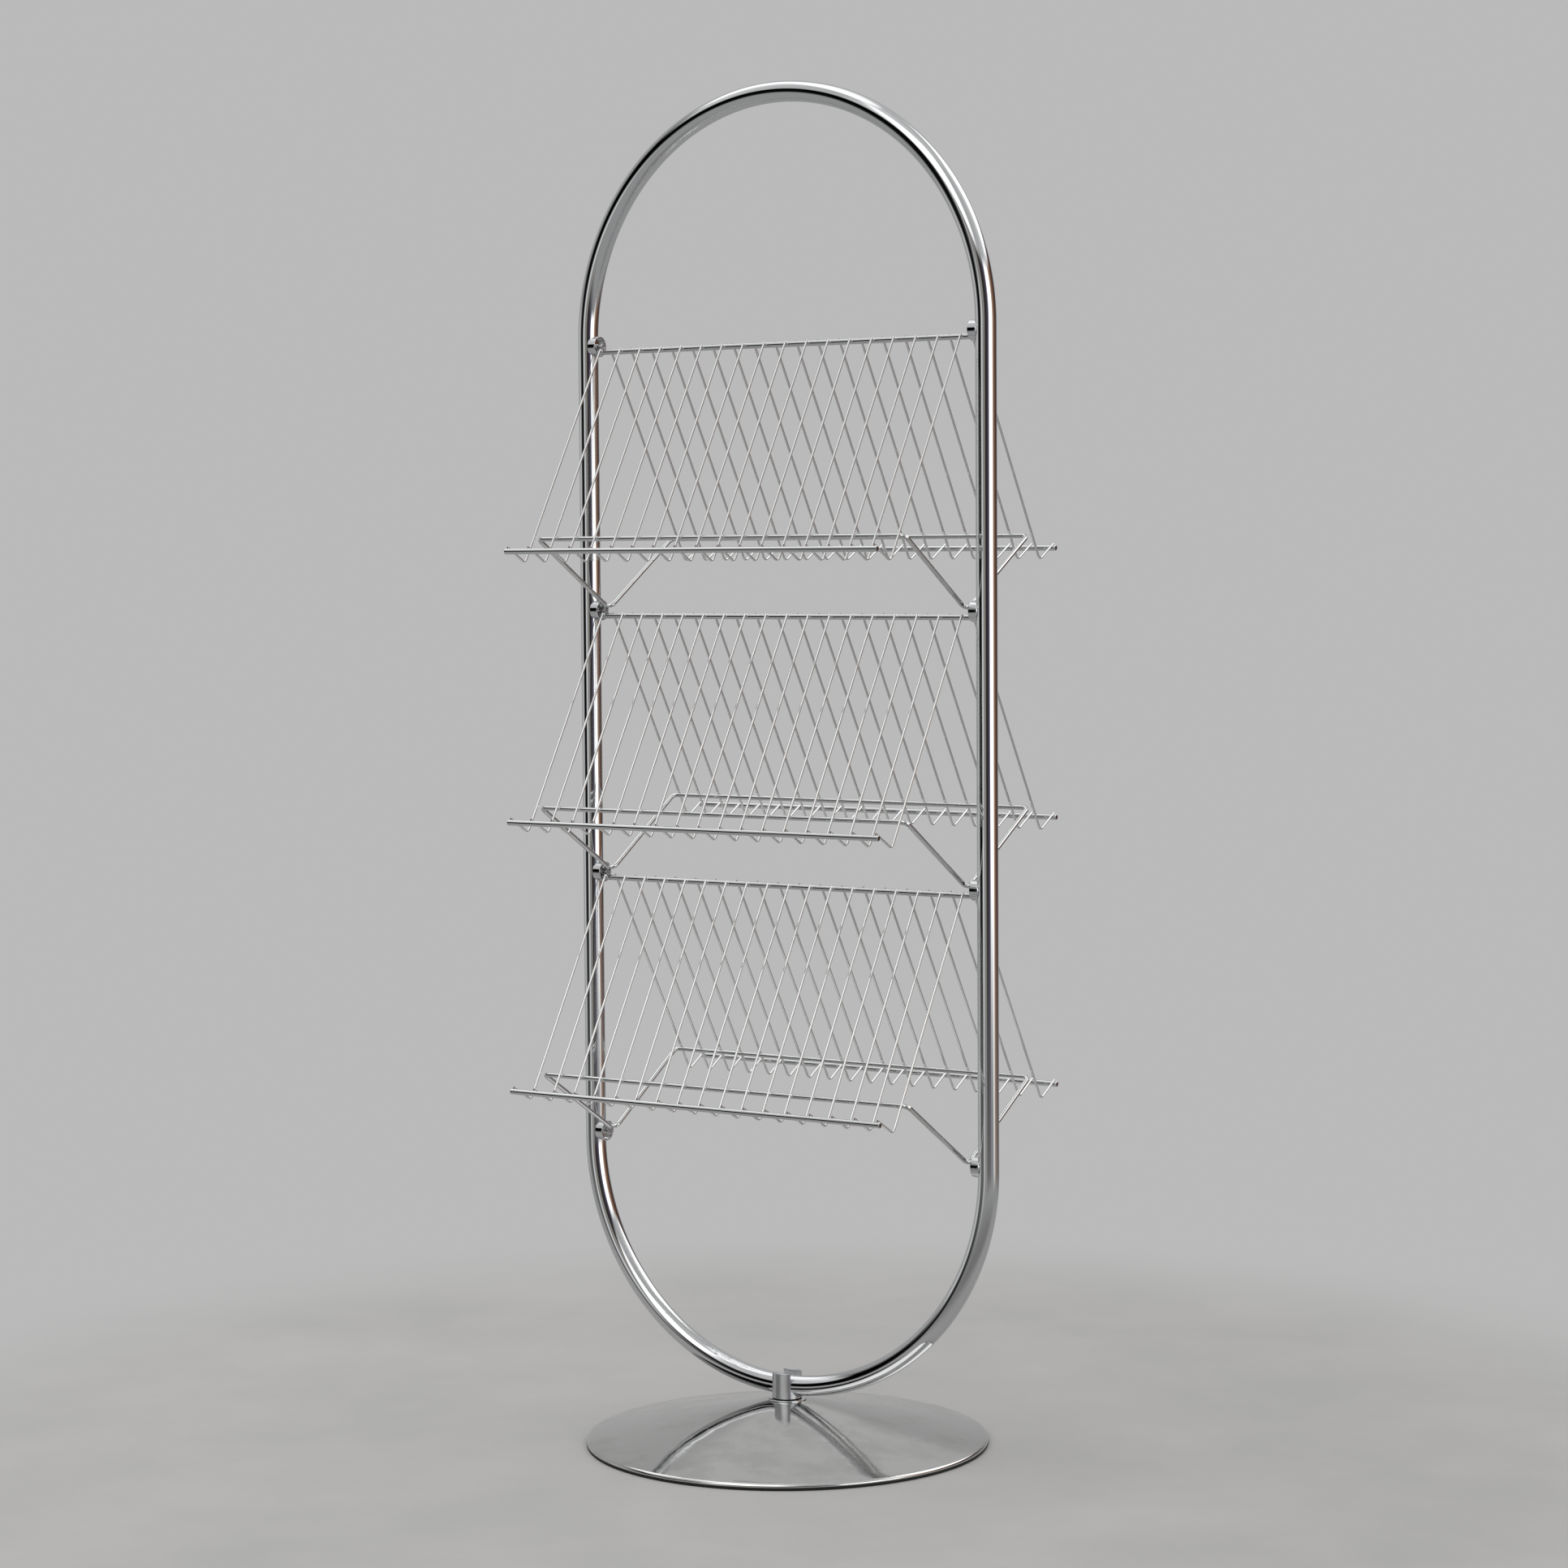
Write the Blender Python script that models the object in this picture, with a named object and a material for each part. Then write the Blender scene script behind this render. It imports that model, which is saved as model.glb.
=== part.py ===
"""Revolving newspaper rack: a closed hoop of chromed tube on a round weighted base.

Three double-sided wire baskets hang between the uprights of the hoop. Each tier has one top rail, two
welded wire baskets that lean against it back to back, and two bent support rods. The ends of the rails
and of the rods sit in short cups on the inner sides of the uprights. The hoop stands in a slotted post
whose journal turns in a flanged bush in the base.

Frame: metres, +Z up, +X along the width of the hoop, -Y towards the front baskets. The origin lies on
the floor, on the axis of the journal.
"""

import math

import bmesh
import bpy
from mathutils import Matrix, Vector

# ---------------------------------------------------------------- driving dimensions (metres)
GAP = 0.0003  # seat clearance between two pieces that touch

TUBE_RADIUS = 0.011
TUBE_WALL = 0.0015
HOOP_WIDTH = 0.500  # between the centre lines of the uprights
HOOP_STRAIGHT = 0.868  # straight length of an upright
HOOP_LOWEST = 0.0616  # height of the tube's centre line in the saddle
HOOP_END_GAP = 0.001  # between the two tube ends, which meet in the saddle
JOINER_HALF_LENGTH = 0.030
JOINER_RADIUS = TUBE_RADIUS - TUBE_WALL - GAP

TIERS = 3
FIRST_HUB_ABOVE_BEND = 0.0045  # lowest hub above the start of the straight upright
TIER_PITCH = 0.2855

HUB_RADIUS = 0.011
HUB_FACE_INSET = 0.016  # from the upright's centre line to the open face of the cup
HUB_LENGTH = 0.0105
HUB_CHAMFER = 0.0008
HUB_SEAT_GAP = 0.0006  # to the upright, which starts to bend just below the lowest hub
CUP_RADIUS = 0.0094
CUP_DEPTH = 0.0038
HUB_BOSS_RADIUS = 0.0027
HUB_BOSS_PROUD = 0.0007  # boss above the rim of the cup

HUB_SCREW_RADIUS = 0.0015
HUB_SCREW_LENGTH = 0.0100
HUB_SCREW_HEAD_RADIUS = 0.00275
HUB_SCREW_HEAD_HEIGHT = 0.0030
HUB_SCREW_SOCKET_RADIUS = 0.0013
HUB_SCREW_SOCKET_DEPTH = 0.0015

RAIL_RADIUS = 0.003
RAIL_DROP = 0.0061  # rail below the centre of its hubs
CUP_END_CLEARANCE = 0.0004  # from the end of a rail or rod to the floor of the cup

ROD_RADIUS = 0.0025
ROD_DOWN = 0.2022  # lower run of the rod below the rail
ROD_HALF_SPAN = 0.2280  # half the length of the lower run
ROD_CUP_OFFSET = 0.0044  # rod end beside and above the centre of its hub
ROD_LEG_HALF_SPAN = 0.2255  # half the distance between the legs where they turn into the cups
ROD_BEND = 0.0060

WIRE_RADIUS = 0.00125
WIRE_COUNT = 18
WIRE_PITCH = 0.0267
WIRE_STAGGER = 0.0043  # front wires are shifted this far to -X, back wires to +X
WIRE_LEAN = math.radians(31.0)  # from the vertical
WIRE_PAST_RAIL = 0.0010  # wire end past the point where it touches the rail
TROUGH_DOWN = 0.2272  # corner of the trough below the rail
TROUGH_BEND = 0.0050
LIP_ANGLE = math.radians(29.3)  # outer leg of the trough above the horizontal
LIP_REACH = 0.0316  # corner of the trough to the foot of the lip rail, along the wire
LIP_RADIUS = 0.003
LIP_OVERHANG = 0.0035  # lip rail past the first and the last wire
WIRE_PAST_LIP = 0.0022
WELD_DEPTH = 0.0005  # wire sunk into the lip rail

BASE_RADIUS = 0.2145
RIM_RING_HEIGHT = 0.0030
RIM_RING_WIDTH = 0.0060
CONE_WALL = 0.0015
CONE_TOP = 0.0458
CONE_FLAT_RADIUS = 0.0220
RIM_ROLL = 0.0060  # radius of the rolled edge
RIM_SHOULDER = 0.0100  # height of the cone where it meets the rolled edge

FLANGE_RADIUS = 0.0206
FLANGE_HEIGHT = 0.0013
BUSH_RADIUS = 0.0125
SLIP_WASHER_HEIGHT = 0.0006
SLIP_WASHER_RADIUS = 0.0155

POST_RADIUS = 0.0160
POST_ABOVE_TUBE = 0.0137  # prongs above the tube's centre line
JOURNAL_RADIUS = 0.0090
JOURNAL_CLEARANCE = 0.0003
JOURNAL_END = 0.0154  # height of the journal's lower end

SADDLE_SCREW_RADIUS = 0.0040
SADDLE_SCREW_HEAD_RADIUS = 0.0065
SADDLE_SCREW_HEAD_HEIGHT = 0.0080
SADDLE_SCREW_SOCKET_RADIUS = 0.0032
SADDLE_SCREW_SOCKET_DEPTH = 0.0045
RETAINER_RADIUS = 0.0150
RETAINER_HEIGHT = 0.0020
SPRING_WASHER_RADIUS = 0.0066
SPRING_WASHER_HEIGHT = 0.0020
THRUST_WASHER_HEIGHT = 0.0010

RING_NUT_RADIUS = 0.0200
RING_NUT_HEIGHT = 0.0060
RING_NUT_SEAT = 0.0283  # ceiling of the recess in the weight
WEIGHT_RADIUS = 0.1500
WEIGHT_LOWEST = 0.0030
WEIGHT_THICKNESS = 0.0100
WEIGHT_BOSS_RADIUS = 0.0205
WEIGHT_RECESS_RADIUS = 0.0240

# sides of the round pieces
TUBE_SIDES = 12
BASE_SIDES = 40
POST_SIDES = 24
HUB_SIDES = 16
SCREW_SIDES = 10
RAIL_SIDES = 12
ROD_SIDES = 6
WIRE_SIDES = 5
ARC_STEPS = 20  # of each half circle of the hoop
BEND_STEPS = 2
TROUGH_STEPS = 1

# ---------------------------------------------------------------- places that follow from them
HOOP_BEND_RADIUS = HOOP_WIDTH / 2
LOWER_BEND_Z = HOOP_LOWEST + HOOP_BEND_RADIUS
UPPER_BEND_Z = LOWER_BEND_Z + HOOP_STRAIGHT
HUB_HEIGHTS = [LOWER_BEND_Z + FIRST_HUB_ABOVE_BEND + TIER_PITCH * (TIERS - i) for i in range(TIERS + 1)]
RAIL_HEIGHTS = [height - RAIL_DROP for height in HUB_HEIGHTS[:TIERS]]
HUB_FACE_X = HOOP_WIDTH / 2 - HUB_FACE_INSET
CUP_FLOOR_X = HUB_FACE_X + CUP_DEPTH
FLANGE_TOP = CONE_TOP + GAP + FLANGE_HEIGHT
POST_FOOT = FLANGE_TOP + SLIP_WASHER_HEIGHT + 2 * GAP
POST_TOP = HOOP_LOWEST + POST_ABOVE_TUBE
RETAINER_TOP = JOURNAL_END - GAP
THRUST_WASHER_LOWEST = RETAINER_TOP + GAP
BUSH_END = THRUST_WASHER_LOWEST + THRUST_WASHER_HEIGHT + GAP
BUSH_BORE = JOURNAL_RADIUS + JOURNAL_CLEARANCE

CHROME = ("chrome", (0.80, 0.80, 0.79), 0.08, 1.0)
POLISHED_STEEL = ("polished_steel", (0.62, 0.62, 0.61), 0.16, 1.0)
BRIGHT_WIRE = ("bright_wire", (0.74, 0.74, 0.73), 0.14, 1.0)
ZINC_STEEL = ("zinc_plated_steel", (0.52, 0.53, 0.53), 0.35, 1.0)
CAST_IRON = ("cast_iron", (0.09, 0.09, 0.09), 0.75, 0.6)
BLACK_RUBBER = ("black_rubber", (0.015, 0.015, 0.015), 0.70, 0.0)
NYLON = ("black_nylon", (0.03, 0.03, 0.03), 0.50, 0.0)


# ---------------------------------------------------------------- tools
def clear_scene():
    """Remove every object of the scene."""
    for obj in list(bpy.data.objects):
        bpy.data.objects.remove(obj, do_unlink=True)


def material(finish):
    """Return the material of a finish, made once."""
    name, colour, roughness, metallic = finish
    found = bpy.data.materials.get(name)
    if found:
        return found
    made = bpy.data.materials.new(name)
    made.use_nodes = True
    shader = made.node_tree.nodes["Principled BSDF"]
    shader.inputs["Base Color"].default_value = (*colour, 1.0)
    shader.inputs["Roughness"].default_value = roughness
    shader.inputs["Metallic"].default_value = metallic
    made.diffuse_color = (*colour, 1.0)
    return made


def place(name, mesh, finish, location=(0.0, 0.0, 0.0), turn=0.0):
    """Put a mesh in the scene as a named piece, turned about Z."""
    piece = bpy.data.objects.new(name, mesh)
    bpy.context.scene.collection.objects.link(piece)
    piece.location = location
    piece.rotation_euler = (0.0, 0.0, turn)
    if not mesh.materials:
        mesh.materials.append(material(finish))
    mesh.shade_smooth()
    mesh.set_sharp_from_angle(angle=math.radians(35))
    return piece


def helper(name, mesh):
    """Put a mesh in the scene as a hidden cutter or guide."""
    guide = bpy.data.objects.new(name, mesh)
    bpy.context.scene.collection.objects.link(guide)
    guide.hide_render = True
    guide.display_type = "WIRE"
    return guide


def boolean(piece, other, operation):
    """Combine a piece with another object."""
    modifier = piece.modifiers.new(operation.lower(), "BOOLEAN")
    modifier.operation = operation
    modifier.solver = "EXACT"
    modifier.object = other


def evaluated_mesh(obj):
    """Return a copy of the object's mesh with its modifiers applied."""
    graph = bpy.context.evaluated_depsgraph_get()
    return bpy.data.meshes.new_from_object(obj.evaluated_get(graph))


def combined(mesh, other, operation, name):
    """Return the Boolean of two meshes as a mesh, and leave nothing in the scene."""
    first = helper(name + "_first", mesh)
    second = helper(name + "_second", other)
    boolean(first, second, operation)
    bpy.context.view_layer.update()
    result = evaluated_mesh(first)
    result.name = name
    bpy.data.objects.remove(first)
    bpy.data.objects.remove(second)
    return result


def lathe(name, profile, sides):
    """Return a solid of revolution about Z from a closed outline of (radius, height) points."""
    shape = bmesh.new()
    points = [shape.verts.new((radius, 0.0, height)) for radius, height in profile]
    edges = [shape.edges.new((points[i - 1], points[i])) for i in range(len(points))]
    bmesh.ops.spin(
        shape,
        geom=points + edges,
        cent=(0, 0, 0),
        axis=(0, 0, 1),
        angle=math.tau,
        steps=sides,
        use_merge=True,
    )
    bmesh.ops.remove_doubles(shape, verts=shape.verts, dist=1e-6)
    bmesh.ops.dissolve_degenerate(shape, edges=shape.edges, dist=1e-7)
    bmesh.ops.recalc_face_normals(shape, faces=shape.faces)
    mesh = bpy.data.meshes.new(name)
    shape.to_mesh(mesh)
    shape.free()
    return mesh


def lathe_x(name, profile, sides):
    """Return a solid of revolution about X, whose outline heights run along +X."""
    mesh = lathe(name, profile, sides)
    mesh.transform(Matrix.Rotation(math.pi / 2, 4, "Y"))
    return mesh


def joined(name, meshes):
    """Return one mesh that holds all the given meshes as separate bodies."""
    shape = bmesh.new()
    for mesh in meshes:
        shape.from_mesh(mesh)
    result = bpy.data.meshes.new(name)
    shape.to_mesh(result)
    shape.free()
    return result


def moved(mesh, offset):
    """Return a copy of a mesh, shifted by offset."""
    copy = mesh.copy()
    copy.transform(Matrix.Translation(offset))
    return copy


def rounded(corners, radius, steps):
    """Return the points of a path whose inner corners are rounded to one bend radius."""
    corners = [Vector(corner) for corner in corners]
    points = [corners[0]]
    for before, corner, after in zip(corners, corners[1:], corners[2:]):
        into = (corner - before).normalized()
        out = (after - corner).normalized()
        turn = into.angle(out)
        inward = (out - into).normalized()
        centre = corner + inward * (radius / math.cos(turn / 2))
        start = corner - into * (radius * math.tan(turn / 2)) - centre
        axis = into.cross(out).normalized()
        points += [centre + Matrix.Rotation(turn * i / steps, 3, axis) @ start for i in range(steps + 1)]
    return points + [corners[-1]]


def bars(name, paths, radius, sides):
    """Return round bars along several paths, as one mesh of separate closed bodies."""
    section = bpy.data.curves.new(name + "_section", "CURVE")
    outline = section.splines.new("POLY")
    outline.points.add(sides - 1)
    outline.use_cyclic_u = True
    for k, point in enumerate(outline.points):
        angle = math.tau * k / sides
        point.co = (radius * math.cos(angle), radius * math.sin(angle), 0.0, 1.0)
    ring = helper(name + "_ring", section)
    curve = bpy.data.curves.new(name, "CURVE")
    curve.dimensions = "3D"
    curve.bevel_mode = "OBJECT"
    curve.bevel_object = ring
    curve.use_fill_caps = True
    for path in paths:
        spline = curve.splines.new("POLY")
        spline.points.add(len(path) - 1)
        for point, place_at in zip(spline.points, path):
            point.co = (*place_at, 1.0)
    guide = helper(name + "_path", curve)
    bpy.context.view_layer.update()
    mesh = evaluated_mesh(guide)
    mesh.name = name
    bpy.data.objects.remove(guide)
    bpy.data.objects.remove(ring)
    shape = bmesh.new()
    shape.from_mesh(mesh)
    bmesh.ops.remove_doubles(shape, verts=shape.verts, dist=1e-6)
    bmesh.ops.recalc_face_normals(shape, faces=shape.faces)
    shape.to_mesh(mesh)
    shape.free()
    return mesh


# ---------------------------------------------------------------- hoop and saddle
def hoop_path():
    """Centre line of the hoop, from one tube end in the saddle, up, over and down to the other."""
    start = HOOP_END_GAP / 2 / HOOP_BEND_RADIUS
    lower = [start + (math.pi / 2 - start) * i * 2 / ARC_STEPS for i in range(ARC_STEPS // 2 + 1)]
    upper = [math.pi / 2 + math.pi * i / ARC_STEPS for i in range(ARC_STEPS + 1)]
    right = [(math.sin(a), LOWER_BEND_Z - HOOP_BEND_RADIUS * math.cos(a)) for a in lower]
    top = [(math.sin(a), UPPER_BEND_Z - HOOP_BEND_RADIUS * math.cos(a)) for a in upper]
    left = [(-x, z) for x, z in reversed(right)]
    return [Vector((HOOP_BEND_RADIUS * x, 0.0, z)) for x, z in right + top + left]


def ring_direction(path, i):
    """Direction of travel at a point of a path, halfway between the runs that meet there."""
    before = path[max(i - 1, 0)]
    after = path[min(i + 1, len(path) - 1)]
    return (after - before).normalized()


def make_hoop():
    """Bent tube, open at its two ends, with a hole at every hub screw and one for the saddle screw."""
    path = hoop_path()
    shape = bmesh.new()
    rings = []
    for i, centre in enumerate(path):
        out = Vector((0.0, 1.0, 0.0)).cross(ring_direction(path, i))
        angles = [math.tau * k / TUBE_SIDES for k in range(TUBE_SIDES)]
        offsets = [out * math.cos(a) + Vector((0.0, math.sin(a), 0.0)) for a in angles]
        rings.append([shape.verts.new(centre + offset * TUBE_RADIUS) for offset in offsets])
    for ring, following in zip(rings, rings[1:]):
        for k in range(TUBE_SIDES):
            near, far = k - 1, k
            shape.faces.new((ring[near], ring[far], following[far], following[near]))
    bmesh.ops.recalc_face_normals(shape, faces=shape.faces)
    mesh = bpy.data.meshes.new("hoop_tube")
    shape.to_mesh(mesh)
    shape.free()
    hoop = place("hoop_tube", mesh, CHROME)
    wall = hoop.modifiers.new("wall", "SOLIDIFY")
    wall.thickness = TUBE_WALL
    wall.offset = -1.0
    wall.use_even_offset = True
    boolean(hoop, helper("hoop_holes", hoop_holes()), "DIFFERENCE")


def hoop_holes():
    """Cutters for the holes in the tube."""
    depth = HUB_FACE_INSET
    hole = [(0.0, -depth), (HUB_SCREW_RADIUS + GAP, -depth), (HUB_SCREW_RADIUS + GAP, 0.0), (0.0, 0.0)]
    right = lathe_x("hub_screw_hole", hole, SCREW_SIDES)
    left = moved(right, (depth, 0.0, 0.0))
    cutters = []
    for height in HUB_HEIGHTS:
        cutters.append(moved(right, (HOOP_WIDTH / 2, 0.0, height)))
        cutters.append(moved(left, (-HOOP_WIDTH / 2, 0.0, height)))
    radius = SADDLE_SCREW_RADIUS + GAP
    low = HOOP_LOWEST - TUBE_RADIUS - TUBE_WALL
    saddle = [(0.0, low), (radius, low), (radius, HOOP_LOWEST), (0.0, HOOP_LOWEST)]
    cutters.append(lathe("saddle_screw_hole", saddle, SCREW_SIDES))
    return joined("hoop_holes", cutters)


def make_joiner():
    """Bent plug inside the two tube ends, tapped for the saddle screw."""
    start, following = hoop_path()[:2]
    end = start + (following - start).normalized() * JOINER_HALF_LENGTH
    corners = ((-end.x, end.z), (-start.x, start.z), (start.x, start.z), (end.x, end.z))
    path = [(x, 0.0, z) for x, z in corners]
    plug = bars("tube_joiner", [path], JOINER_RADIUS, TUBE_SIDES)
    radius = SADDLE_SCREW_RADIUS + GAP
    low = HOOP_LOWEST - TUBE_RADIUS
    high = HOOP_LOWEST + TUBE_RADIUS
    tapped = lathe("joiner_hole", [(0.0, low), (radius, low), (radius, high), (0.0, high)], SCREW_SIDES)
    place("tube_joiner", combined(plug, tapped, "DIFFERENCE", "tube_joiner"), ZINC_STEEL)


def make_saddle_post():
    """Round post with a U-shaped slot for the tube above and a journal below."""
    bore = SADDLE_SCREW_RADIUS + GAP
    outline = [
        (bore, JOURNAL_END),
        (JOURNAL_RADIUS, JOURNAL_END),
        (JOURNAL_RADIUS, POST_FOOT),
        (POST_RADIUS, POST_FOOT),
        (POST_RADIUS, POST_TOP),
        (bore, POST_TOP),
    ]
    post = lathe("saddle_post", outline, POST_SIDES)
    width = TUBE_RADIUS + GAP
    length = POST_RADIUS * 1.5
    high = POST_TOP + TUBE_RADIUS
    slot = bmesh.new()
    steps = TUBE_SIDES
    turns = [math.pi * k / steps for k in range(steps + 1)]
    floor = [(-width * math.cos(turn), -width * math.sin(turn)) for turn in turns]
    outline = [(y, HOOP_LOWEST + z) for y, z in floor] + [(width, high), (-width, high)]
    face = slot.faces.new([slot.verts.new((-length, y, z)) for y, z in outline])
    swept = bmesh.ops.extrude_face_region(slot, geom=[face])
    corners = [item for item in swept["geom"] if isinstance(item, bmesh.types.BMVert)]
    bmesh.ops.translate(slot, verts=corners, vec=(2 * length, 0.0, 0.0))
    bmesh.ops.recalc_face_normals(slot, faces=slot.faces)
    cutter = bpy.data.meshes.new("slot")
    slot.to_mesh(cutter)
    slot.free()
    place("saddle_post", combined(post, cutter, "DIFFERENCE", "saddle_post"), POLISHED_STEEL)


def cap_screw(name, shank, length, head, height, socket, depth, sides):
    """Cap screw about Z: the head's top at height 0, the shank pointing up."""
    outline = [
        (0.0, depth),
        (socket, depth),
        (socket, 0.0),
        (head, 0.0),
        (head, height),
        (shank, height),
        (shank, height + length),
        (0.0, height + length),
    ]
    return lathe(name, outline, sides)


def washer(name, bore, radius, low, height, sides, finish):
    """Flat ring about Z, standing on height low."""
    outline = [(bore, low), (radius, low), (radius, low + height), (bore, low + height)]
    place(name, lathe(name, outline, sides), finish)


def make_saddle_fixings():
    """Screw that clamps the tube into the post, and the washers under the journal."""
    spring_top = RETAINER_TOP - RETAINER_HEIGHT - GAP
    head_top = spring_top - SPRING_WASHER_HEIGHT - GAP
    low = head_top - SADDLE_SCREW_HEAD_HEIGHT
    length = HOOP_LOWEST + JOINER_RADIUS / 2 - head_top
    mesh = cap_screw(
        "saddle_screw",
        SADDLE_SCREW_RADIUS,
        length,
        SADDLE_SCREW_HEAD_RADIUS,
        SADDLE_SCREW_HEAD_HEIGHT,
        SADDLE_SCREW_SOCKET_RADIUS,
        SADDLE_SCREW_SOCKET_DEPTH,
        SCREW_SIDES,
    )
    place("saddle_screw", moved(mesh, (0.0, 0.0, low)), ZINC_STEEL)
    bore = SADDLE_SCREW_RADIUS + GAP
    retainer_low = RETAINER_TOP - RETAINER_HEIGHT
    washer(
        "journal_washer", bore, RETAINER_RADIUS, retainer_low, RETAINER_HEIGHT, POST_SIDES, ZINC_STEEL
    )
    spring_low = spring_top - SPRING_WASHER_HEIGHT
    washer(
        "spring_washer", bore, SPRING_WASHER_RADIUS, spring_low, SPRING_WASHER_HEIGHT, HUB_SIDES, ZINC_STEEL
    )


# ---------------------------------------------------------------- hubs
def hub_mesh():
    """Cup about the X axis, its open face at -HUB_FACE_INSET, saddle-cut to the tube on the Z axis."""
    face = -HUB_FACE_INSET
    floor = face + CUP_DEPTH
    back = face + HUB_LENGTH
    bore = HUB_SCREW_RADIUS + GAP
    outline = [
        (bore, face - HUB_BOSS_PROUD),
        (HUB_BOSS_RADIUS, face - HUB_BOSS_PROUD),
        (HUB_BOSS_RADIUS, floor),
        (CUP_RADIUS, floor),
        (CUP_RADIUS, face),
        (HUB_RADIUS, face),
        (HUB_RADIUS, back - HUB_CHAMFER),
        (HUB_RADIUS - HUB_CHAMFER, back),
        (bore, back),
    ]
    cup = lathe_x("hub_cup", outline, HUB_SIDES)
    radius = TUBE_RADIUS + HUB_SEAT_GAP
    half = HUB_LENGTH * 2
    tube = [(0.0, -half), (radius, -half), (radius, half), (0.0, half)]
    return combined(cup, lathe("saddle_cut", tube, TUBE_SIDES * 2), "DIFFERENCE", "hub_cup")


def make_hubs():
    """A cup and its screw at every hub height, on both uprights."""
    cup = hub_mesh()
    screw = cap_screw(
        "hub_screw",
        HUB_SCREW_RADIUS,
        HUB_SCREW_LENGTH,
        HUB_SCREW_HEAD_RADIUS,
        HUB_SCREW_HEAD_HEIGHT,
        HUB_SCREW_SOCKET_RADIUS,
        HUB_SCREW_SOCKET_DEPTH,
        SCREW_SIDES,
    )
    head_top = -HUB_FACE_INSET - HUB_BOSS_PROUD - GAP - HUB_SCREW_HEAD_HEIGHT
    screw.transform(Matrix.Rotation(math.pi / 2, 4, "Y"))
    screw.transform(Matrix.Translation((head_top, 0.0, 0.0)))
    for i, height in enumerate(HUB_HEIGHTS, start=1):
        for side, x, turn in (("right", HOOP_WIDTH / 2, 0.0), ("left", -HOOP_WIDTH / 2, math.pi)):
            place(f"hub_cup_{side}_{i}", cup, CHROME, (x, 0.0, height), turn)
            place(f"hub_screw_{side}_{i}", screw, POLISHED_STEEL, (x, 0.0, height), turn)


# ---------------------------------------------------------------- tiers
def wire_out(down):
    """Distance of the wires' centre line in front of the rail, at a depth below it."""
    seat = RAIL_RADIUS + GAP + WIRE_RADIUS
    return (seat + down * math.sin(WIRE_LEAN)) / math.cos(WIRE_LEAN)


def rod_out():
    """Distance of the rod's lower run in front of the rail: it lies against the back of the wires."""
    seat = ROD_RADIUS + GAP + WIRE_RADIUS
    return wire_out(ROD_DOWN) - seat / math.cos(WIRE_LEAN)


def rail_mesh():
    """Straight top rail about X, its ends in the cups of two hubs."""
    half = CUP_FLOOR_X - CUP_END_CLEARANCE
    outline = [(0.0, -half), (RAIL_RADIUS, -half), (RAIL_RADIUS, half), (0.0, half)]
    return lathe_x("top_rail", outline, RAIL_SIDES)


def rod_mesh():
    """Front support rod: lower run, a leg at each end, and the ends turned into the next hubs' cups."""
    out = rod_out()
    end = CUP_FLOOR_X - CUP_END_CLEARANCE
    cup_height = -(TIER_PITCH - RAIL_DROP) + ROD_CUP_OFFSET
    corners = [
        (end, -ROD_CUP_OFFSET, cup_height),
        (ROD_LEG_HALF_SPAN, -ROD_CUP_OFFSET, cup_height),
        (ROD_HALF_SPAN, -out, -ROD_DOWN),
    ]
    corners += [(-x, y, z) for x, y, z in reversed(corners)]
    return bars("support_rod", [rounded(corners, ROD_BEND, BEND_STEPS)], ROD_RADIUS, ROD_SIDES)


def wire_path(x):
    """Centre line of one front wire: past the rail and the rod, round the trough and up past the lip."""
    along = Vector((0.0, -math.sin(WIRE_LEAN), -math.cos(WIRE_LEAN)))
    across = Vector((0.0, -math.cos(WIRE_LEAN), math.sin(WIRE_LEAN)))
    top = Vector((x, 0.0, 0.0)) + across * (RAIL_RADIUS + GAP + WIRE_RADIUS) - along * WIRE_PAST_RAIL
    trough = Vector((x, -wire_out(TROUGH_DOWN), -TROUGH_DOWN))
    tip = trough + outer_leg() * (LIP_REACH + WIRE_PAST_LIP)
    return rounded([top, trough, tip], TROUGH_BEND, TROUGH_STEPS)


def outer_leg():
    """Direction of the wires' outer leg, out and up from the trough."""
    return Vector((0.0, -math.cos(LIP_ANGLE), math.sin(LIP_ANGLE)))


def basket_mesh():
    """Front basket: eighteen bent wires welded on a lip rail that lies under and outside their tips."""
    first = -WIRE_STAGGER - WIRE_PITCH * (WIRE_COUNT - 1) / 2
    last = first + WIRE_PITCH * (WIRE_COUNT - 1)
    paths = [wire_path(first + WIRE_PITCH * i) for i in range(WIRE_COUNT)]
    wires = bars("wires", paths, WIRE_RADIUS, WIRE_SIDES)
    foot = Vector((0.0, -wire_out(TROUGH_DOWN), -TROUGH_DOWN)) + outer_leg() * LIP_REACH
    outward = Vector((0.0, -math.sin(LIP_ANGLE), -math.cos(LIP_ANGLE)))
    centre = foot + outward * (LIP_RADIUS + WIRE_RADIUS - WELD_DEPTH)
    ends = [(first - LIP_OVERHANG, *centre.yz), (last + LIP_OVERHANG, *centre.yz)]
    lip = bars("lip_rail", [ends], LIP_RADIUS, RAIL_SIDES - 2)
    return combined(lip, wires, "UNION", "wire_basket")


def make_tiers():
    """Rail, two support rods and two baskets on every tier; the back ones are front ones turned round."""
    rail = rail_mesh()
    rod = rod_mesh()
    basket = basket_mesh()
    for i, height in enumerate(RAIL_HEIGHTS, start=1):
        place(f"top_rail_{i}", rail, BRIGHT_WIRE, (0.0, 0.0, height))
        for side, turn in (("front", 0.0), ("back", math.pi)):
            place(f"support_rod_{side}_{i}", rod, BRIGHT_WIRE, (0.0, 0.0, height), turn)
            place(f"wire_basket_{side}_{i}", basket, BRIGHT_WIRE, (0.0, 0.0, height), turn)


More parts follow.
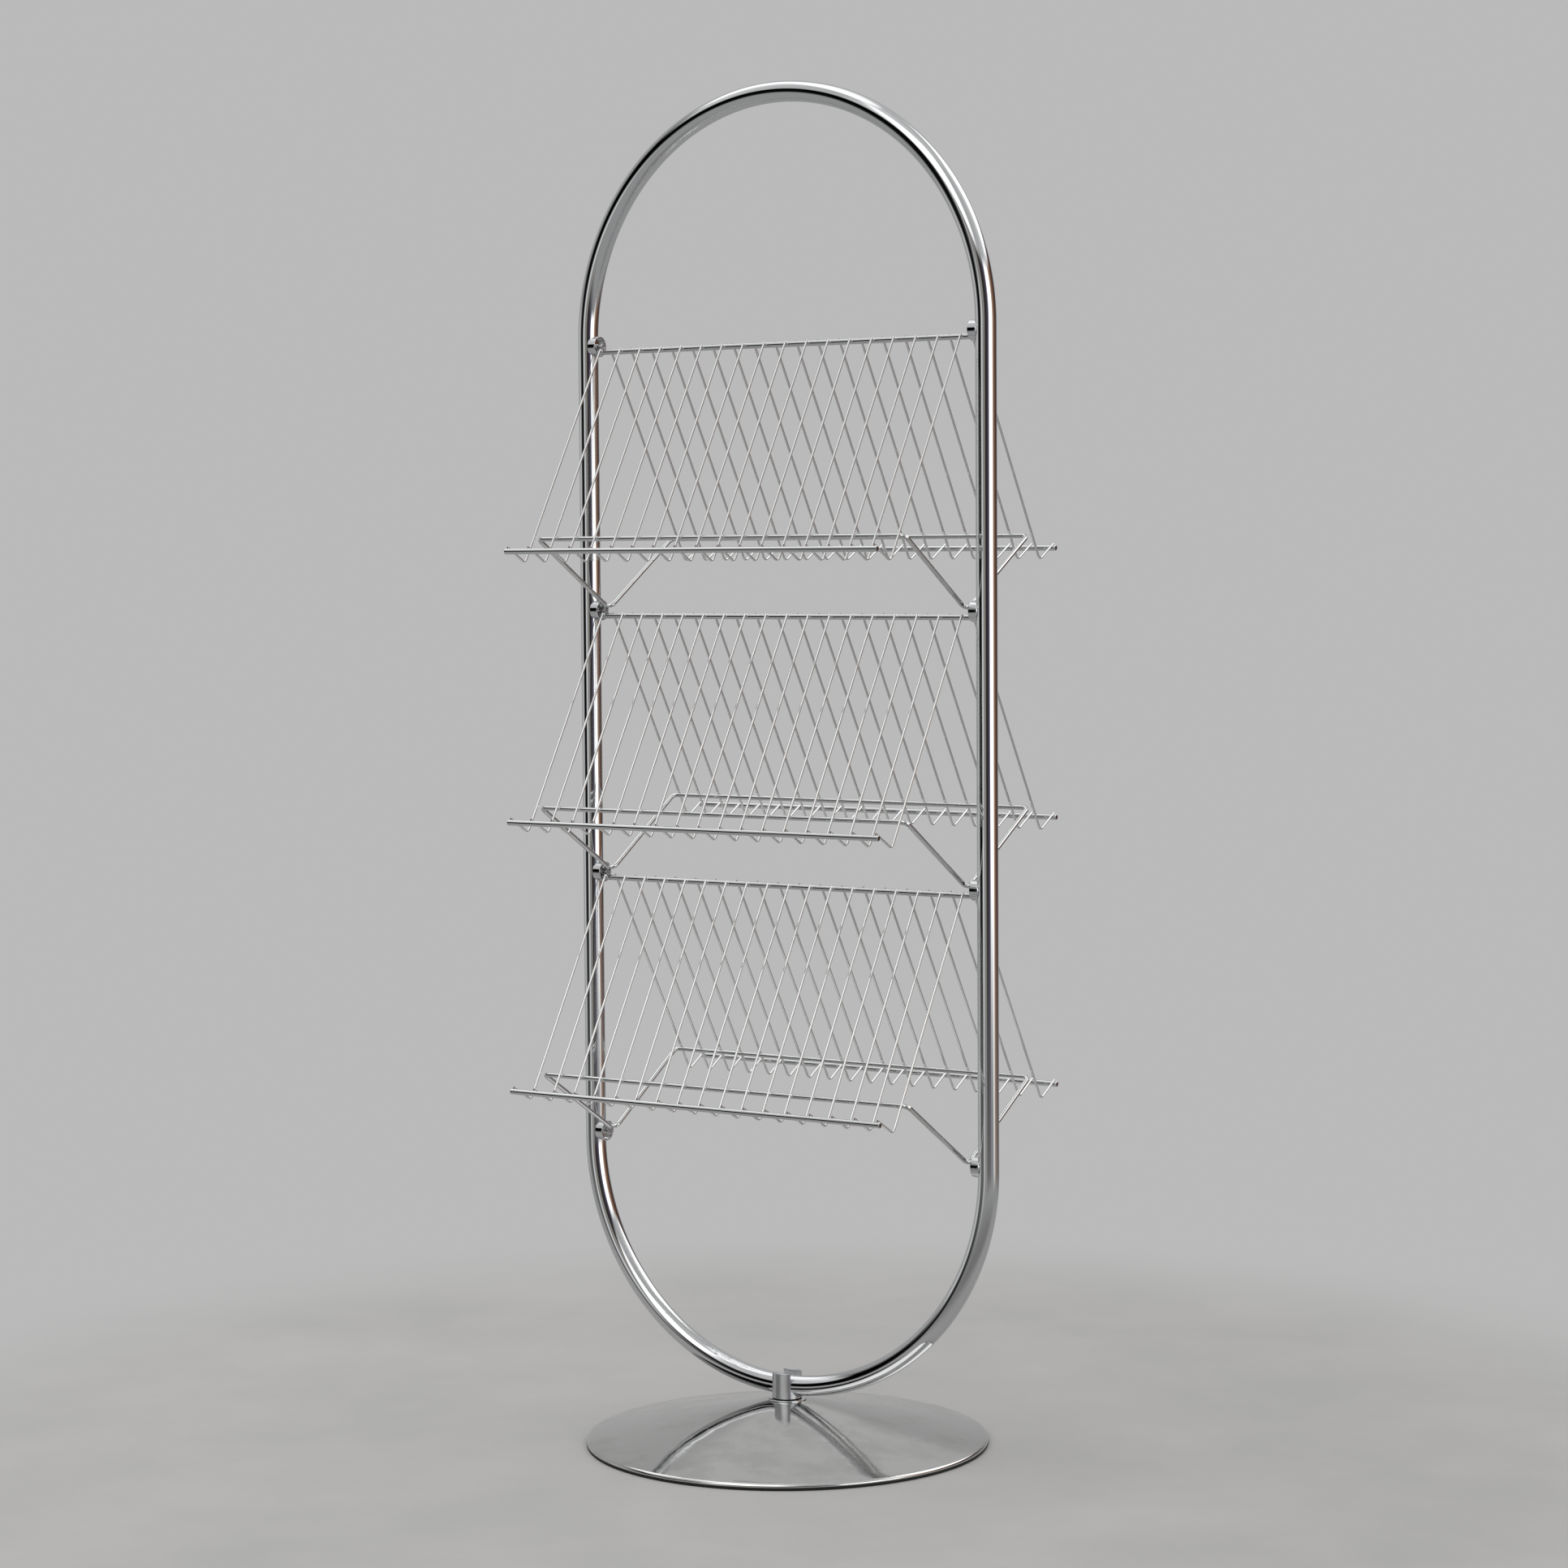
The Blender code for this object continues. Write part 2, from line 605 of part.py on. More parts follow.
# ---------------------------------------------------------------- base
def cone_outline():
    """Closed outline of the spun cone: top flat, slope and rolled edge, and back inside by its wall."""
    centre = (BASE_RADIUS - RIM_ROLL, RIM_SHOULDER - RIM_ROLL)
    low = RIM_RING_HEIGHT + GAP
    slope = math.atan2(CONE_TOP - RIM_SHOULDER, BASE_RADIUS - RIM_ROLL - CONE_FLAT_RADIUS)
    start = math.pi / 2 - slope
    steps = 2

    def roll(radius):
        angles = [start * (1 - i / steps) for i in range(steps + 1)]
        return [(centre[0] + radius * math.cos(a), centre[1] + radius * math.sin(a)) for a in angles]

    inner_radius = RIM_ROLL - CONE_WALL
    inner_flat = CONE_FLAT_RADIUS - CONE_WALL * math.tan(slope / 2)
    hole = BUSH_RADIUS + GAP
    outer = [(hole, CONE_TOP), (CONE_FLAT_RADIUS, CONE_TOP), *roll(RIM_ROLL), (BASE_RADIUS, low)]
    inner = [(BASE_RADIUS - CONE_WALL, low), *reversed(roll(inner_radius))]
    inner += [(inner_flat, CONE_TOP - CONE_WALL), (hole, CONE_TOP - CONE_WALL)]
    return outer + inner


def make_base():
    """Cone, rubber rim ring, cast weight, flanged bush and its ring nut, and the two plain washers."""
    place("base_cone", lathe("base_cone", cone_outline(), BASE_SIDES), CHROME)

    inner = BASE_RADIUS - RIM_RING_WIDTH
    edge = RIM_RING_HEIGHT / 5
    ring = [
        (inner, 0.0),
        (BASE_RADIUS - edge, 0.0),
        (BASE_RADIUS, edge),
        (BASE_RADIUS, RIM_RING_HEIGHT),
        (inner, RIM_RING_HEIGHT),
    ]
    place("rim_ring", lathe("rim_ring", ring, BASE_SIDES), BLACK_RUBBER)

    bore = BUSH_RADIUS + GAP
    top = CONE_TOP - CONE_WALL - GAP
    disc_top = WEIGHT_LOWEST + WEIGHT_THICKNESS
    weight = [
        (bore, RING_NUT_SEAT),
        (WEIGHT_RECESS_RADIUS, RING_NUT_SEAT),
        (WEIGHT_RECESS_RADIUS, WEIGHT_LOWEST),
        (WEIGHT_RADIUS, WEIGHT_LOWEST),
        (WEIGHT_RADIUS, disc_top),
        (WEIGHT_RECESS_RADIUS * 2.5, disc_top),
        (WEIGHT_RECESS_RADIUS * 1.4, RING_NUT_SEAT),
        (WEIGHT_BOSS_RADIUS, top),
        (bore, top),
    ]
    place("base_weight", lathe("base_weight", weight, BASE_SIDES), CAST_IRON)

    flange_low = CONE_TOP + GAP
    bush = [
        (BUSH_BORE, BUSH_END),
        (BUSH_RADIUS, BUSH_END),
        (BUSH_RADIUS, flange_low),
        (FLANGE_RADIUS, flange_low),
        (FLANGE_RADIUS, FLANGE_TOP),
        (BUSH_BORE, FLANGE_TOP),
    ]
    place("pivot_bush", lathe("pivot_bush", bush, POST_SIDES), CHROME)
    nut_low = RING_NUT_SEAT - GAP - RING_NUT_HEIGHT
    bore = BUSH_RADIUS + GAP
    washer("bush_ring_nut", bore, RING_NUT_RADIUS, nut_low, RING_NUT_HEIGHT, POST_SIDES, ZINC_STEEL)
    low = FLANGE_TOP + GAP
    washer("slip_washer", BUSH_BORE, SLIP_WASHER_RADIUS, low, SLIP_WASHER_HEIGHT, POST_SIDES, NYLON)
    low = THRUST_WASHER_LOWEST
    washer("thrust_washer", BUSH_BORE, RETAINER_RADIUS, low, THRUST_WASHER_HEIGHT, POST_SIDES, NYLON)


def main():
    clear_scene()
    make_hoop()
    make_joiner()
    make_saddle_post()
    make_saddle_fixings()
    make_hubs()
    make_tiers()
    make_base()


main()
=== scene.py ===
"""Looks of the revolving newspaper rack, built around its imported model.

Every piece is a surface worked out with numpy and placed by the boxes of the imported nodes. Lengths are in
metres, +Z is up, the hoop stands in the XZ plane and the front baskets face -Y.
"""

from __future__ import annotations

import logging
import math
from dataclasses import dataclass, replace
from enum import Enum
from typing import Any, Sequence

import bmesh
import bpy
import numpy as np
from mathutils import Matrix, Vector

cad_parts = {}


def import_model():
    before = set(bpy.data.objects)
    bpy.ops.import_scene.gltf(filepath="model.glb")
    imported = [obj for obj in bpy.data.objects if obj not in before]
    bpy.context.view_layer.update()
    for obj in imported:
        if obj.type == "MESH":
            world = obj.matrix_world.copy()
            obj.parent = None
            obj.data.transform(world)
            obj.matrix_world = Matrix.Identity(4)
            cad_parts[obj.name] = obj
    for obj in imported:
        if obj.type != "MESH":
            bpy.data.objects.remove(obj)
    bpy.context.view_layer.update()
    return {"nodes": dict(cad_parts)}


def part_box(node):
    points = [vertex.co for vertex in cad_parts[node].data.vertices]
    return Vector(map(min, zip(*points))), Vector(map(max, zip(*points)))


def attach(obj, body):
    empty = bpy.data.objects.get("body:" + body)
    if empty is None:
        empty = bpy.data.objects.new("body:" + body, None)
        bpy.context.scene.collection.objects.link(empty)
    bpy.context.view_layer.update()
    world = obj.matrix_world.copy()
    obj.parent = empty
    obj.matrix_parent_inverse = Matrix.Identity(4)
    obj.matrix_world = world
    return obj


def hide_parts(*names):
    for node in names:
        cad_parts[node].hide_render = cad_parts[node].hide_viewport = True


LOG = logging.getLogger("newspaper_rack")
MM = 0.001
TURN = 2.0 * math.pi

Array = np.ndarray
Colour = tuple[float, float, float]
Stops = tuple[tuple[float, ...], ...]


# --- numpy surfaces ---
@dataclass(frozen=True)
class Shell:
    """Points and faces of one or more closed surfaces.

    Args:
        points: Corner points, one row each.
        quads: Four corner numbers per row, counter-clockwise from outside.
        tris: Three corner numbers per row.
        kinds: Material number of every face, quads first.
    """

    points: Array
    quads: Array
    tris: Array
    kinds: Array

    def moved(self, offset: Sequence[float]) -> Shell:
        """Return the shell shifted by an offset."""
        return replace(self, points=self.points + np.asarray(offset, float))

    def turned_half(self) -> Shell:
        """Return the shell turned half round about Z."""
        return replace(self, points=self.points * np.array([-1.0, -1.0, 1.0]))

    def about_x(self) -> Shell:
        """Return the shell with its Z axis laid along X, which keeps its faces outward."""
        return replace(self, points=self.points[:, [2, 0, 1]])

    def painted(self, kind: int) -> Shell:
        """Return the shell with another material number in place of nought."""
        return replace(self, kinds=np.where(self.kinds == 0, kind, self.kinds))


def quad_shell(points: Array, quads: Array) -> Shell:
    """Return a shell that has quads only, all with material nought."""
    return Shell(points, quads, np.empty((0, 3), int), np.zeros(len(quads), int))


def merge_shells(shells: Sequence[Shell]) -> Shell:
    """Put several shells into one.

    Args:
        shells: The shells, in order.

    Returns:
        One shell with all points and faces, the corner numbers shifted.
    """
    starts = np.cumsum([0] + [len(shell.points) for shell in shells])[:-1]
    quads = np.concatenate([shell.quads + start for shell, start in zip(shells, starts)])
    tris = np.concatenate([shell.tris + start for shell, start in zip(shells, starts)])
    quad_kinds = [shell.kinds[: len(shell.quads)] for shell in shells]
    tri_kinds = [shell.kinds[len(shell.quads) :] for shell in shells]
    points = np.concatenate([shell.points for shell in shells])
    return Shell(points, quads, tris, np.concatenate([*quad_kinds, *tri_kinds]))


def unit(vector: Array) -> Array:
    """Return a vector scaled to length one."""
    return vector / np.linalg.norm(vector)


def bend_of(into: Array, out: Array) -> float:
    """Return the angle between two directions of length one."""
    return math.acos(float(np.clip(into @ out, -1.0, 1.0)))


def tube_shell(grid: Array, cap_kind: int = 0, wrap: bool = False) -> Shell:
    """Close a grid of rings into a tube.

    Row i, column k of the grid joins row i + 1, column k + 1. The columns wrap round. The first and the
    last ring are closed by a fan about their mean, unless the rows wrap round too.

    Args:
        grid: Points, shaped (rings, sides, 3).
        cap_kind: Material number of the two end fans.
        wrap: Whether the last ring joins the first.

    Returns:
        The closed shell.
    """
    rings, sides, _ = grid.shape
    number = np.arange(rings * sides).reshape(rings, sides)
    rows = number if not wrap else np.vstack([number, number[:1]])
    near, far = rows[:-1], rows[1:]
    quads = np.stack([near, np.roll(near, -1, 1), np.roll(far, -1, 1), far], -1).reshape(-1, 4)
    points = grid.reshape(-1, 3)
    if wrap:
        return quad_shell(points, quads)
    first, last = len(points), len(points) + 1
    points = np.vstack([points, grid[0].mean(0), grid[-1].mean(0)])
    start = np.stack([np.roll(number[0], -1), number[0], np.full(sides, first)], -1)
    end = np.stack([number[-1], np.roll(number[-1], -1), np.full(sides, last)], -1)
    tris = np.vstack([start, end])
    kinds = np.concatenate([np.zeros(len(quads), int), np.full(len(tris), cap_kind)])
    return Shell(points, quads, tris, kinds)


def sweep(
    path: Array, radii: Array | float, sides: int, normal: Sequence[float], cap_kind: int = 0
) -> Shell:
    """Carry a circle along a plane path.

    A ring point is path + radius (cos a, sin a) in the frame of the plane's normal and the direction
    across the path, which is the tangent crossed with the normal.

    Args:
        path: Points of the path, shaped (n, 3), all in one plane.
        radii: Radius at every point, or one for all.
        sides: Sides of the ring.
        normal: Normal of the plane of the path.
        cap_kind: Material number of the two end faces.

    Returns:
        The closed bar.
    """
    tangent = np.gradient(path, axis=0)
    tangent /= np.linalg.norm(tangent, axis=1, keepdims=True)
    up = unit(np.asarray(normal, float))
    across = np.cross(tangent, up)
    across /= np.linalg.norm(across, axis=1, keepdims=True)
    angle = np.arange(sides) * TURN / sides
    ring = np.cos(angle)[None, :, None] * across[:, None, :] + np.sin(angle)[None, :, None] * up
    grid = path[:, None, :] - np.broadcast_to(radii, len(path))[:, None, None] * ring
    return tube_shell(grid, cap_kind)


def round_bar(path: Array, radius: float, sides: int, normal: Sequence[float]) -> Shell:
    """Sweep a bar whose two cut ends have a small chamfer, a fifth of the radius long.

    Args:
        path: Points of the path, in one plane.
        radius: Radius of the bar.
        sides: Sides of the ring.
        normal: Normal of the plane of the path.

    Returns:
        The closed bar, its cut ends with material one.
    """
    chamfer = 0.2 * radius
    second = path[0] + unit(path[1] - path[0]) * chamfer
    before = path[-1] + unit(path[-2] - path[-1]) * chamfer
    points = np.vstack([path[:1], second[None], path[1:-1], before[None], path[-1:]])
    radii = np.full(len(points), radius)
    radii[[0, -1]] = radius - chamfer
    return sweep(points, radii, sides, normal, 1)


def rounded_path(corners: Array, radius: float, steps: int) -> Array:
    """Round the inner corners of a broken line.

    Each corner becomes an arc that touches both runs: centre + start turned by t about the axis of the
    bend, for t from nought to the angle of the bend.

    Args:
        corners: Corner points, shaped (n, 2) or (n, 3).
        radius: Radius of every bend.
        steps: Steps of every arc.

    Returns:
        Points of the rounded path.
    """
    pieces = [corners[:1]]
    share = np.linspace(0.0, 1.0, steps + 1)[:, None]
    for before, corner, after in zip(corners, corners[1:], corners[2:]):
        into, out = unit(corner - before), unit(after - corner)
        bend = bend_of(into, out)
        centre = corner + unit(out - into) * radius / math.cos(bend / 2)
        begin = corner - into * radius * math.tan(bend / 2) - centre
        end = corner + out * radius * math.tan(bend / 2) - centre
        arc = (np.sin((1 - share) * bend) * begin + np.sin(share * bend) * end) / math.sin(bend)
        pieces.append(centre + arc)
    return np.concatenate([*pieces, corners[-1:]])


def outline(corners: Sequence[tuple[float, float, float]], steps: int = 3) -> Array:
    """Round each corner of a closed outline with its own radius.

    Args:
        corners: (radius from the axis, height, corner radius) in order.
        steps: Steps of every rounding.

    Returns:
        Points of the closed outline, shaped (n, 2).
    """
    pieces = []
    table = np.array(corners)
    for (*here, radius), before, after in zip(table, np.roll(table, 1, 0), np.roll(table, -1, 0)):
        corner = np.array(here)
        if radius <= 0.0:
            pieces.append(corner[None])
            continue
        into, out = unit(corner - before[:2]), unit(after[:2] - corner)
        reach = radius * math.tan(bend_of(into, out) / 2) * 2
        ends = np.array([corner - into * reach, corner, corner + out * reach])
        pieces.append(rounded_path(ends, radius, steps)[1:-1])
    return np.concatenate(pieces)


def lathe(profile: Array, sides: int) -> Shell:
    """Turn a closed outline about Z.

    A point is (r cos a, r sin a, h). The outline may run either way round: its signed area tells which,
    and it is turned round where its surface would face inward.

    Args:
        profile: (radius, height) rows, all off the axis.
        sides: Sides of the turn.

    Returns:
        The closed shell.
    """
    radius, height = profile[:, 0], profile[:, 1]
    area = np.sum(radius * np.roll(height, -1) - np.roll(radius, -1) * height)
    ordered = profile if area > 0 else profile[::-1]
    angle = np.arange(sides) * TURN / sides
    ring = np.stack([np.cos(angle), np.sin(angle)], -1)
    grid = np.empty((len(ordered), sides, 3))
    grid[..., :2] = ordered[:, None, :1] * ring[None]
    grid[..., 2] = ordered[:, 1][:, None]
    return tube_shell(grid, wrap=True)


def ellipsoids(centres: Array, axes: Array, rows: int = 4, sides: int = 6) -> Shell:
    """Make a small closed bead at every centre.

    A bead point is centre + axes times (cos u sin v, sin u sin v, cos v).

    Args:
        centres: Places of the beads, shaped (n, 3).
        axes: The three half axes as rows, shaped (3, 3).
        rows: Rows of faces between the poles, plus one.
        sides: Sides of every ring.

    Returns:
        All the beads in one shell.
    """
    v = np.linspace(0.0, math.pi, rows + 1)[1:-1, None]
    u = np.arange(sides)[None] * TURN / sides
    height = np.broadcast_to(np.cos(v), (rows - 1, sides))
    ball = np.stack([np.sin(v) * np.cos(u), np.sin(v) * np.sin(u), height], -1)[::-1]
    bead = tube_shell(ball @ axes)
    return merge_shells([bead.moved(centre) for centre in centres])


def make_object(
    name: str, shell: Shell, finishes: Sequence[bpy.types.Material], sharp: float = 40.0
) -> bpy.types.Object:
    """Put a shell in the scene as a smooth mesh with its materials.

    Args:
        name: Name of the piece.
        shell: Its surface.
        finishes: Its materials, by number.
        sharp: Edges that bend more than this, in degrees, stay sharp.

    Returns:
        The new object, at the origin.
    """
    mesh = bpy.data.meshes.new(name)
    mesh.vertices.add(len(shell.points))
    mesh.vertices.foreach_set("co", shell.points.astype(np.float32).ravel())
    corners = np.concatenate([shell.quads.ravel(), shell.tris.ravel()]).astype(np.int32)
    totals = np.concatenate([np.full(len(shell.quads), 4), np.full(len(shell.tris), 3)])
    mesh.loops.add(len(corners))
    mesh.loops.foreach_set("vertex_index", corners)
    mesh.polygons.add(len(totals))
    mesh.polygons.foreach_set("loop_start", (np.cumsum(totals) - totals).astype(np.int32))
    mesh.polygons.foreach_set("material_index", shell.kinds.astype(np.int32))
    mesh.update(calc_edges=True)
    mesh.validate()
    mesh.shade_smooth()
    mesh.set_sharp_from_angle(angle=math.radians(sharp))
    for finish in finishes:
        mesh.materials.append(finish)
    piece = bpy.data.objects.new(name, mesh)
    bpy.context.scene.collection.objects.link(piece)
    return piece


def weld_points(piece: bpy.types.Object) -> None:
    """Join the doubled points of a piece and drop the faces between them.

    Args:
        piece: Object whose mesh is cleaned in place.
    """
    shape = bmesh.new()
    shape.from_mesh(piece.data)
    bmesh.ops.remove_doubles(shape, verts=shape.verts, dist=1e-6)
    bmesh.ops.dissolve_degenerate(shape, edges=shape.edges, dist=1e-7)
    same = {}
    for face in shape.faces:
        same.setdefault(frozenset(corner.index for corner in face.verts), []).append(face)
    doubled = [face for faces in same.values() if len(faces) > 1 for face in faces]
    bmesh.ops.delete(shape, geom=doubled, context="FACES")
    bmesh.ops.recalc_face_normals(shape, faces=shape.faces)
    shape.to_mesh(piece.data)
    shape.free()


# --- finishes ---
def linear(hexa: str) -> Colour:
    """Turn sRGB hex into linear: c / 12.92 below 0.04045, else ((c + 0.055) / 1.055) ** 2.4.

    Args:
        hexa: Six hex digits.

    Returns:
        Linear red, green and blue.
    """
    parts = [int(hexa[i : i + 2], 16) / 255.0 for i in (0, 2, 4)]
    red, green, blue = (c / 12.92 if c <= 0.04045 else ((c + 0.055) / 1.055) ** 2.4 for c in parts)
    return red, green, blue


def paint(hexa: str) -> tuple[float, ...]:
    """Return an sRGB hex colour as a linear one with full alpha."""
    return (*linear(hexa), 1.0)


@dataclass(frozen=True)
class Web:
    """A node tree, and the few ways in which nodes are added to it.

    Args:
        tree: The node tree.
    """

    tree: bpy.types.NodeTree

    def feed(self, node: bpy.types.Node, **links: Any) -> bpy.types.Node:
        """Fill the inputs of a node.

        Args:
            node: Node to fill.
            **links: Inputs by name with spaces as underscores, or in0, in1 and so on by number. A
                socket is linked, and anything else is set as the value.

        Returns:
            The same node.
        """
        for key, value in links.items():
            by_number = key.startswith("in") and key[2:].isdigit()
            socket = node.inputs[int(key[2:]) if by_number else key.replace("_", " ")]
            if isinstance(value, bpy.types.NodeSocket):
                self.tree.links.new(value, socket)
            else:
                socket.default_value = value
        return node

    def add(self, kind: str, settings: dict[str, Any] | None = None, **links: Any) -> bpy.types.Node:
        """Add a node.

        Args:
            kind: Node type without the "ShaderNode" in front.
            settings: Attributes of the node, such as its operation.
            **links: Its inputs, as feed takes them.

        Returns:
            The new node.
        """
        node = self.tree.nodes.new("ShaderNode" + kind)
        for key, value in (settings or {}).items():
            setattr(node, key, value)
        return self.feed(node, **links)

    def noise(self, place: Any, size_mm: float, detail: float, rough: float = 0.5) -> Any:
        """Add a noise with clouds of a size in real millimetres and return its factor."""
        scale = 1.0 / (size_mm * MM)
        node = self.add("TexNoise", None, Vector=place, Scale=scale, Detail=detail, Roughness=rough)
        return node.outputs["Fac"]

    def span(
        self, value: Any, low: float, high: float, start: float = 0.0, end: float = 1.0, soft: bool = True
    ) -> Any:
        """Map low...high to start...end, with soft or with straight ends, and return the result."""
        settings = {"interpolation_type": "SMOOTHSTEP" if soft else "LINEAR"}
        ends = {"From_Min": low, "From_Max": high, "To_Min": start, "To_Max": end}
        return self.add("MapRange", settings, Value=value, **ends).outputs["Result"]

    def mix(self, share: Any, first: Any, second: Any, how: str = "MIX") -> Any:
        """Blend two colours by a share and return the colour."""
        settings = {"data_type": "RGBA", "blend_type": how}
        return self.add("Mix", settings, in0=share, in6=first, in7=second).outputs[2]

    def mix_shaders(self, share: Any, first: bpy.types.Node, second: bpy.types.Node) -> bpy.types.Node:
        """Blend two shader nodes by a share and return the new node."""
        return self.add("MixShader", None, in0=share, in1=first.outputs[0], in2=second.outputs[0])

    def maths(self, operation: str, *values: Any, kind: str = "Math", output: str = "Value") -> Any:
        """Add a math node with its inputs in order and return one of its outputs."""
        links = {f"in{i}": value for i, value in enumerate(values)}
        return self.add(kind, {"operation": operation}, **links).outputs[output]

    def vector(self, operation: str, *values: Any, output: str = "Value") -> Any:
        """Add a vector math node in the same way."""
        return self.maths(operation, *values, kind="VectorMath", output=output)

    def bump(self, height: Any, depth_mm: float, **below: Any) -> Any:
        """Add a bump of a real depth, over the Normal given, and return its normal."""
        node = self.add("Bump", None, Height=height, Strength=1.0, Distance=depth_mm * MM, **below)
        return node.outputs["Normal"]

    def ramp(self, factor: Any, stops: Sequence[tuple[float, Colour]]) -> Any:
        """Add a colour ramp.

        Args:
            factor: Socket that drives the ramp.
            stops: (place, linear colour) pairs in rising order.

        Returns:
            The colour output.
        """
        node = self.add("ValToRGB", None, Fac=factor)
        elements = node.color_ramp.elements
        while len(elements) < len(stops):
            elements.new(1.0)
        for element, (place, colour) in zip(elements, stops):
            element.position = place
            element.color = (*colour, 1.0)
        return node.outputs["Color"]


# Where a noise's factor starts and stops having its effect.
HANDLED = (0.35, 0.72)
STAINED = (0.46, 0.66)
DUSTY = (0.45, 0.75)
ROUGHENED = (0.3, 0.7)
SPECK_EDGE, SPECK_REACH, SPECK_SOFT, SPECK_COVER = 0.80, 0.16, 0.06, 0.75
DUST_COVER, ROUGH_SPREAD = 0.8, 0.08


@dataclass(frozen=True)
class Surface:
    """What every finish has.

    Args:
        name: Name of the material.
        slot: Slot that it stands for; not used.
        colour: Main colour as a hex string.
    """

    name: str
    slot: str
    colour: str

    def build(self) -> bpy.types.Material:
        """Make the node material, once, and return it."""
        made = bpy.data.materials.get(self.name)
        if made is None:
            made = bpy.data.materials.new(self.name)
            made.use_nodes = True
            web = Web(made.node_tree)
            place = web.add("TexCoord").outputs["Object"]
            self.dress(web, made.node_tree.nodes["Principled BSDF"], place)
        return made

    def dress(self, web: Web, shader: bpy.types.Node, place: Any) -> None:
        """Feed the shader.

        Args:
            web: Node tree of the material.
            shader: Its Principled node.
            place: Socket of the place on the object.
        """
        raise NotImplementedError


@dataclass(frozen=True)
class Metal(Surface):
    """A metal finish.

    Args:
        smooth: Roughness of the cleanest spots.
        dull: Roughness of the most handled spots.
        haze_mm: Size of a cloud of handling marks.
        wave_mm: Spacing of the faint waves in the surface.
        wave_depth_mm: Height of those waves.
        line_mm: Spacing of the working lines round Z, or nought for none.
        line_depth_mm: Height of the lines.
        tint: Darker colour of the specks and worn spots.
        speck: Share of the surface that has specks, from nought to one.
        speck_mm: Size of a speck.
        stain: How far the clouds of handling marks darken the colour, from nought to one.
        brushed: How far the rings round Z stretch the reflections across them, from nought to one.
    """

    smooth: float
    dull: float
    haze_mm: float = 40.0
    wave_mm: float = 30.0
    wave_depth_mm: float = 0.004
    line_mm: float = 0.0
    line_depth_mm: float = 0.0
    tint: str = "8f8d88"
    speck: float = 0.0
    speck_mm: float = 2.6
    stain: float = 0.0
    brushed: float = 0.0

    def dress(self, web: Web, shader: bpy.types.Node, place: Any) -> None:
        """Clouds of haze drive the roughness and the stains, waves and lines drive the bump."""
        haze = web.noise(place, self.haze_mm, 5.0, 0.6)
        rough = web.span(haze, *HANDLED, self.smooth, self.dull, soft=False)
        edge = SPECK_EDGE - SPECK_REACH * self.speck
        spots = web.noise(place, self.speck_mm, 3.0, 0.7)
        mask = web.span(spots, edge, edge + SPECK_SOFT, end=SPECK_COVER, soft=False)
        worn = web.span(haze, *STAINED, end=self.stain)
        clean = web.mix(worn, paint(self.colour), paint(self.tint))
        normal = web.bump(web.noise(place, self.wave_mm, 2.0), self.wave_depth_mm)
        if self.line_mm > 0.0:
            fine = web.noise(self.line_place(web, place), self.line_mm, 1.0)
            normal = web.bump(fine, self.line_depth_mm, Normal=normal)
        colour = web.mix(mask, clean, paint(self.tint))
        web.feed(shader, Metallic=1.0, Roughness=rough, Base_Color=colour, Normal=normal)
        if self.brushed > 0.0:
            round_z = web.vector("CROSS_PRODUCT", (0.0, 0.0, 1.0), place, output="Vector")
            web.feed(shader, Tangent=round_z, Anisotropic=self.brushed, Anisotropic_Rotation=0.25)

    @staticmethod
    def line_place(web: Web, place: Any) -> Any:
        """Return the socket (distance from Z, 0, height), which is the same all round a working line."""
        parts = web.add("SeparateXYZ", None, Vector=place).outputs
        flat = web.add("CombineXYZ", None, X=parts["X"], Y=parts["Y"]).outputs["Vector"]
        away = web.vector("LENGTH", flat)
        return web.add("CombineXYZ", None, X=away, Z=parts["Z"]).outputs["Vector"]


@dataclass(frozen=True)
class Matte(Surface):
    """A dull finish: rubber, nylon or cast iron.

    Args:
        worn: Colour of the worn or dusty spots.
        rough: Roughness.
        grain_mm: Size of the grain.
        grain_depth_mm: Height of the grain.
        metallic: How metallic it is.
        dust_mm: Size of a cloud of dust.
    """

    worn: str
    rough: float
    grain_mm: float
    grain_depth_mm: float
    metallic: float = 0.0
    dust_mm: float = 25.0

    def dress(self, web: Web, shader: bpy.types.Node, place: Any) -> None:
        """A fine grain drives the bump, and wide clouds of dust drive the colour and the roughness."""
        cloud = web.noise(place, self.dust_mm, 6.0, 0.65)
        mask = web.span(cloud, *DUSTY, end=DUST_COVER, soft=False)
        colour = web.mix(mask, paint(self.colour), paint(self.worn))
        low, high = self.rough - ROUGH_SPREAD, self.rough + ROUGH_SPREAD
        rough = web.span(cloud, *ROUGHENED, low, high, soft=False)
        normal = web.bump(web.noise(place, self.grain_mm, 3.0), self.grain_depth_mm)
        web.feed(shader, Metallic=self.metallic, Base_Color=colour, Roughness=rough, Normal=normal)


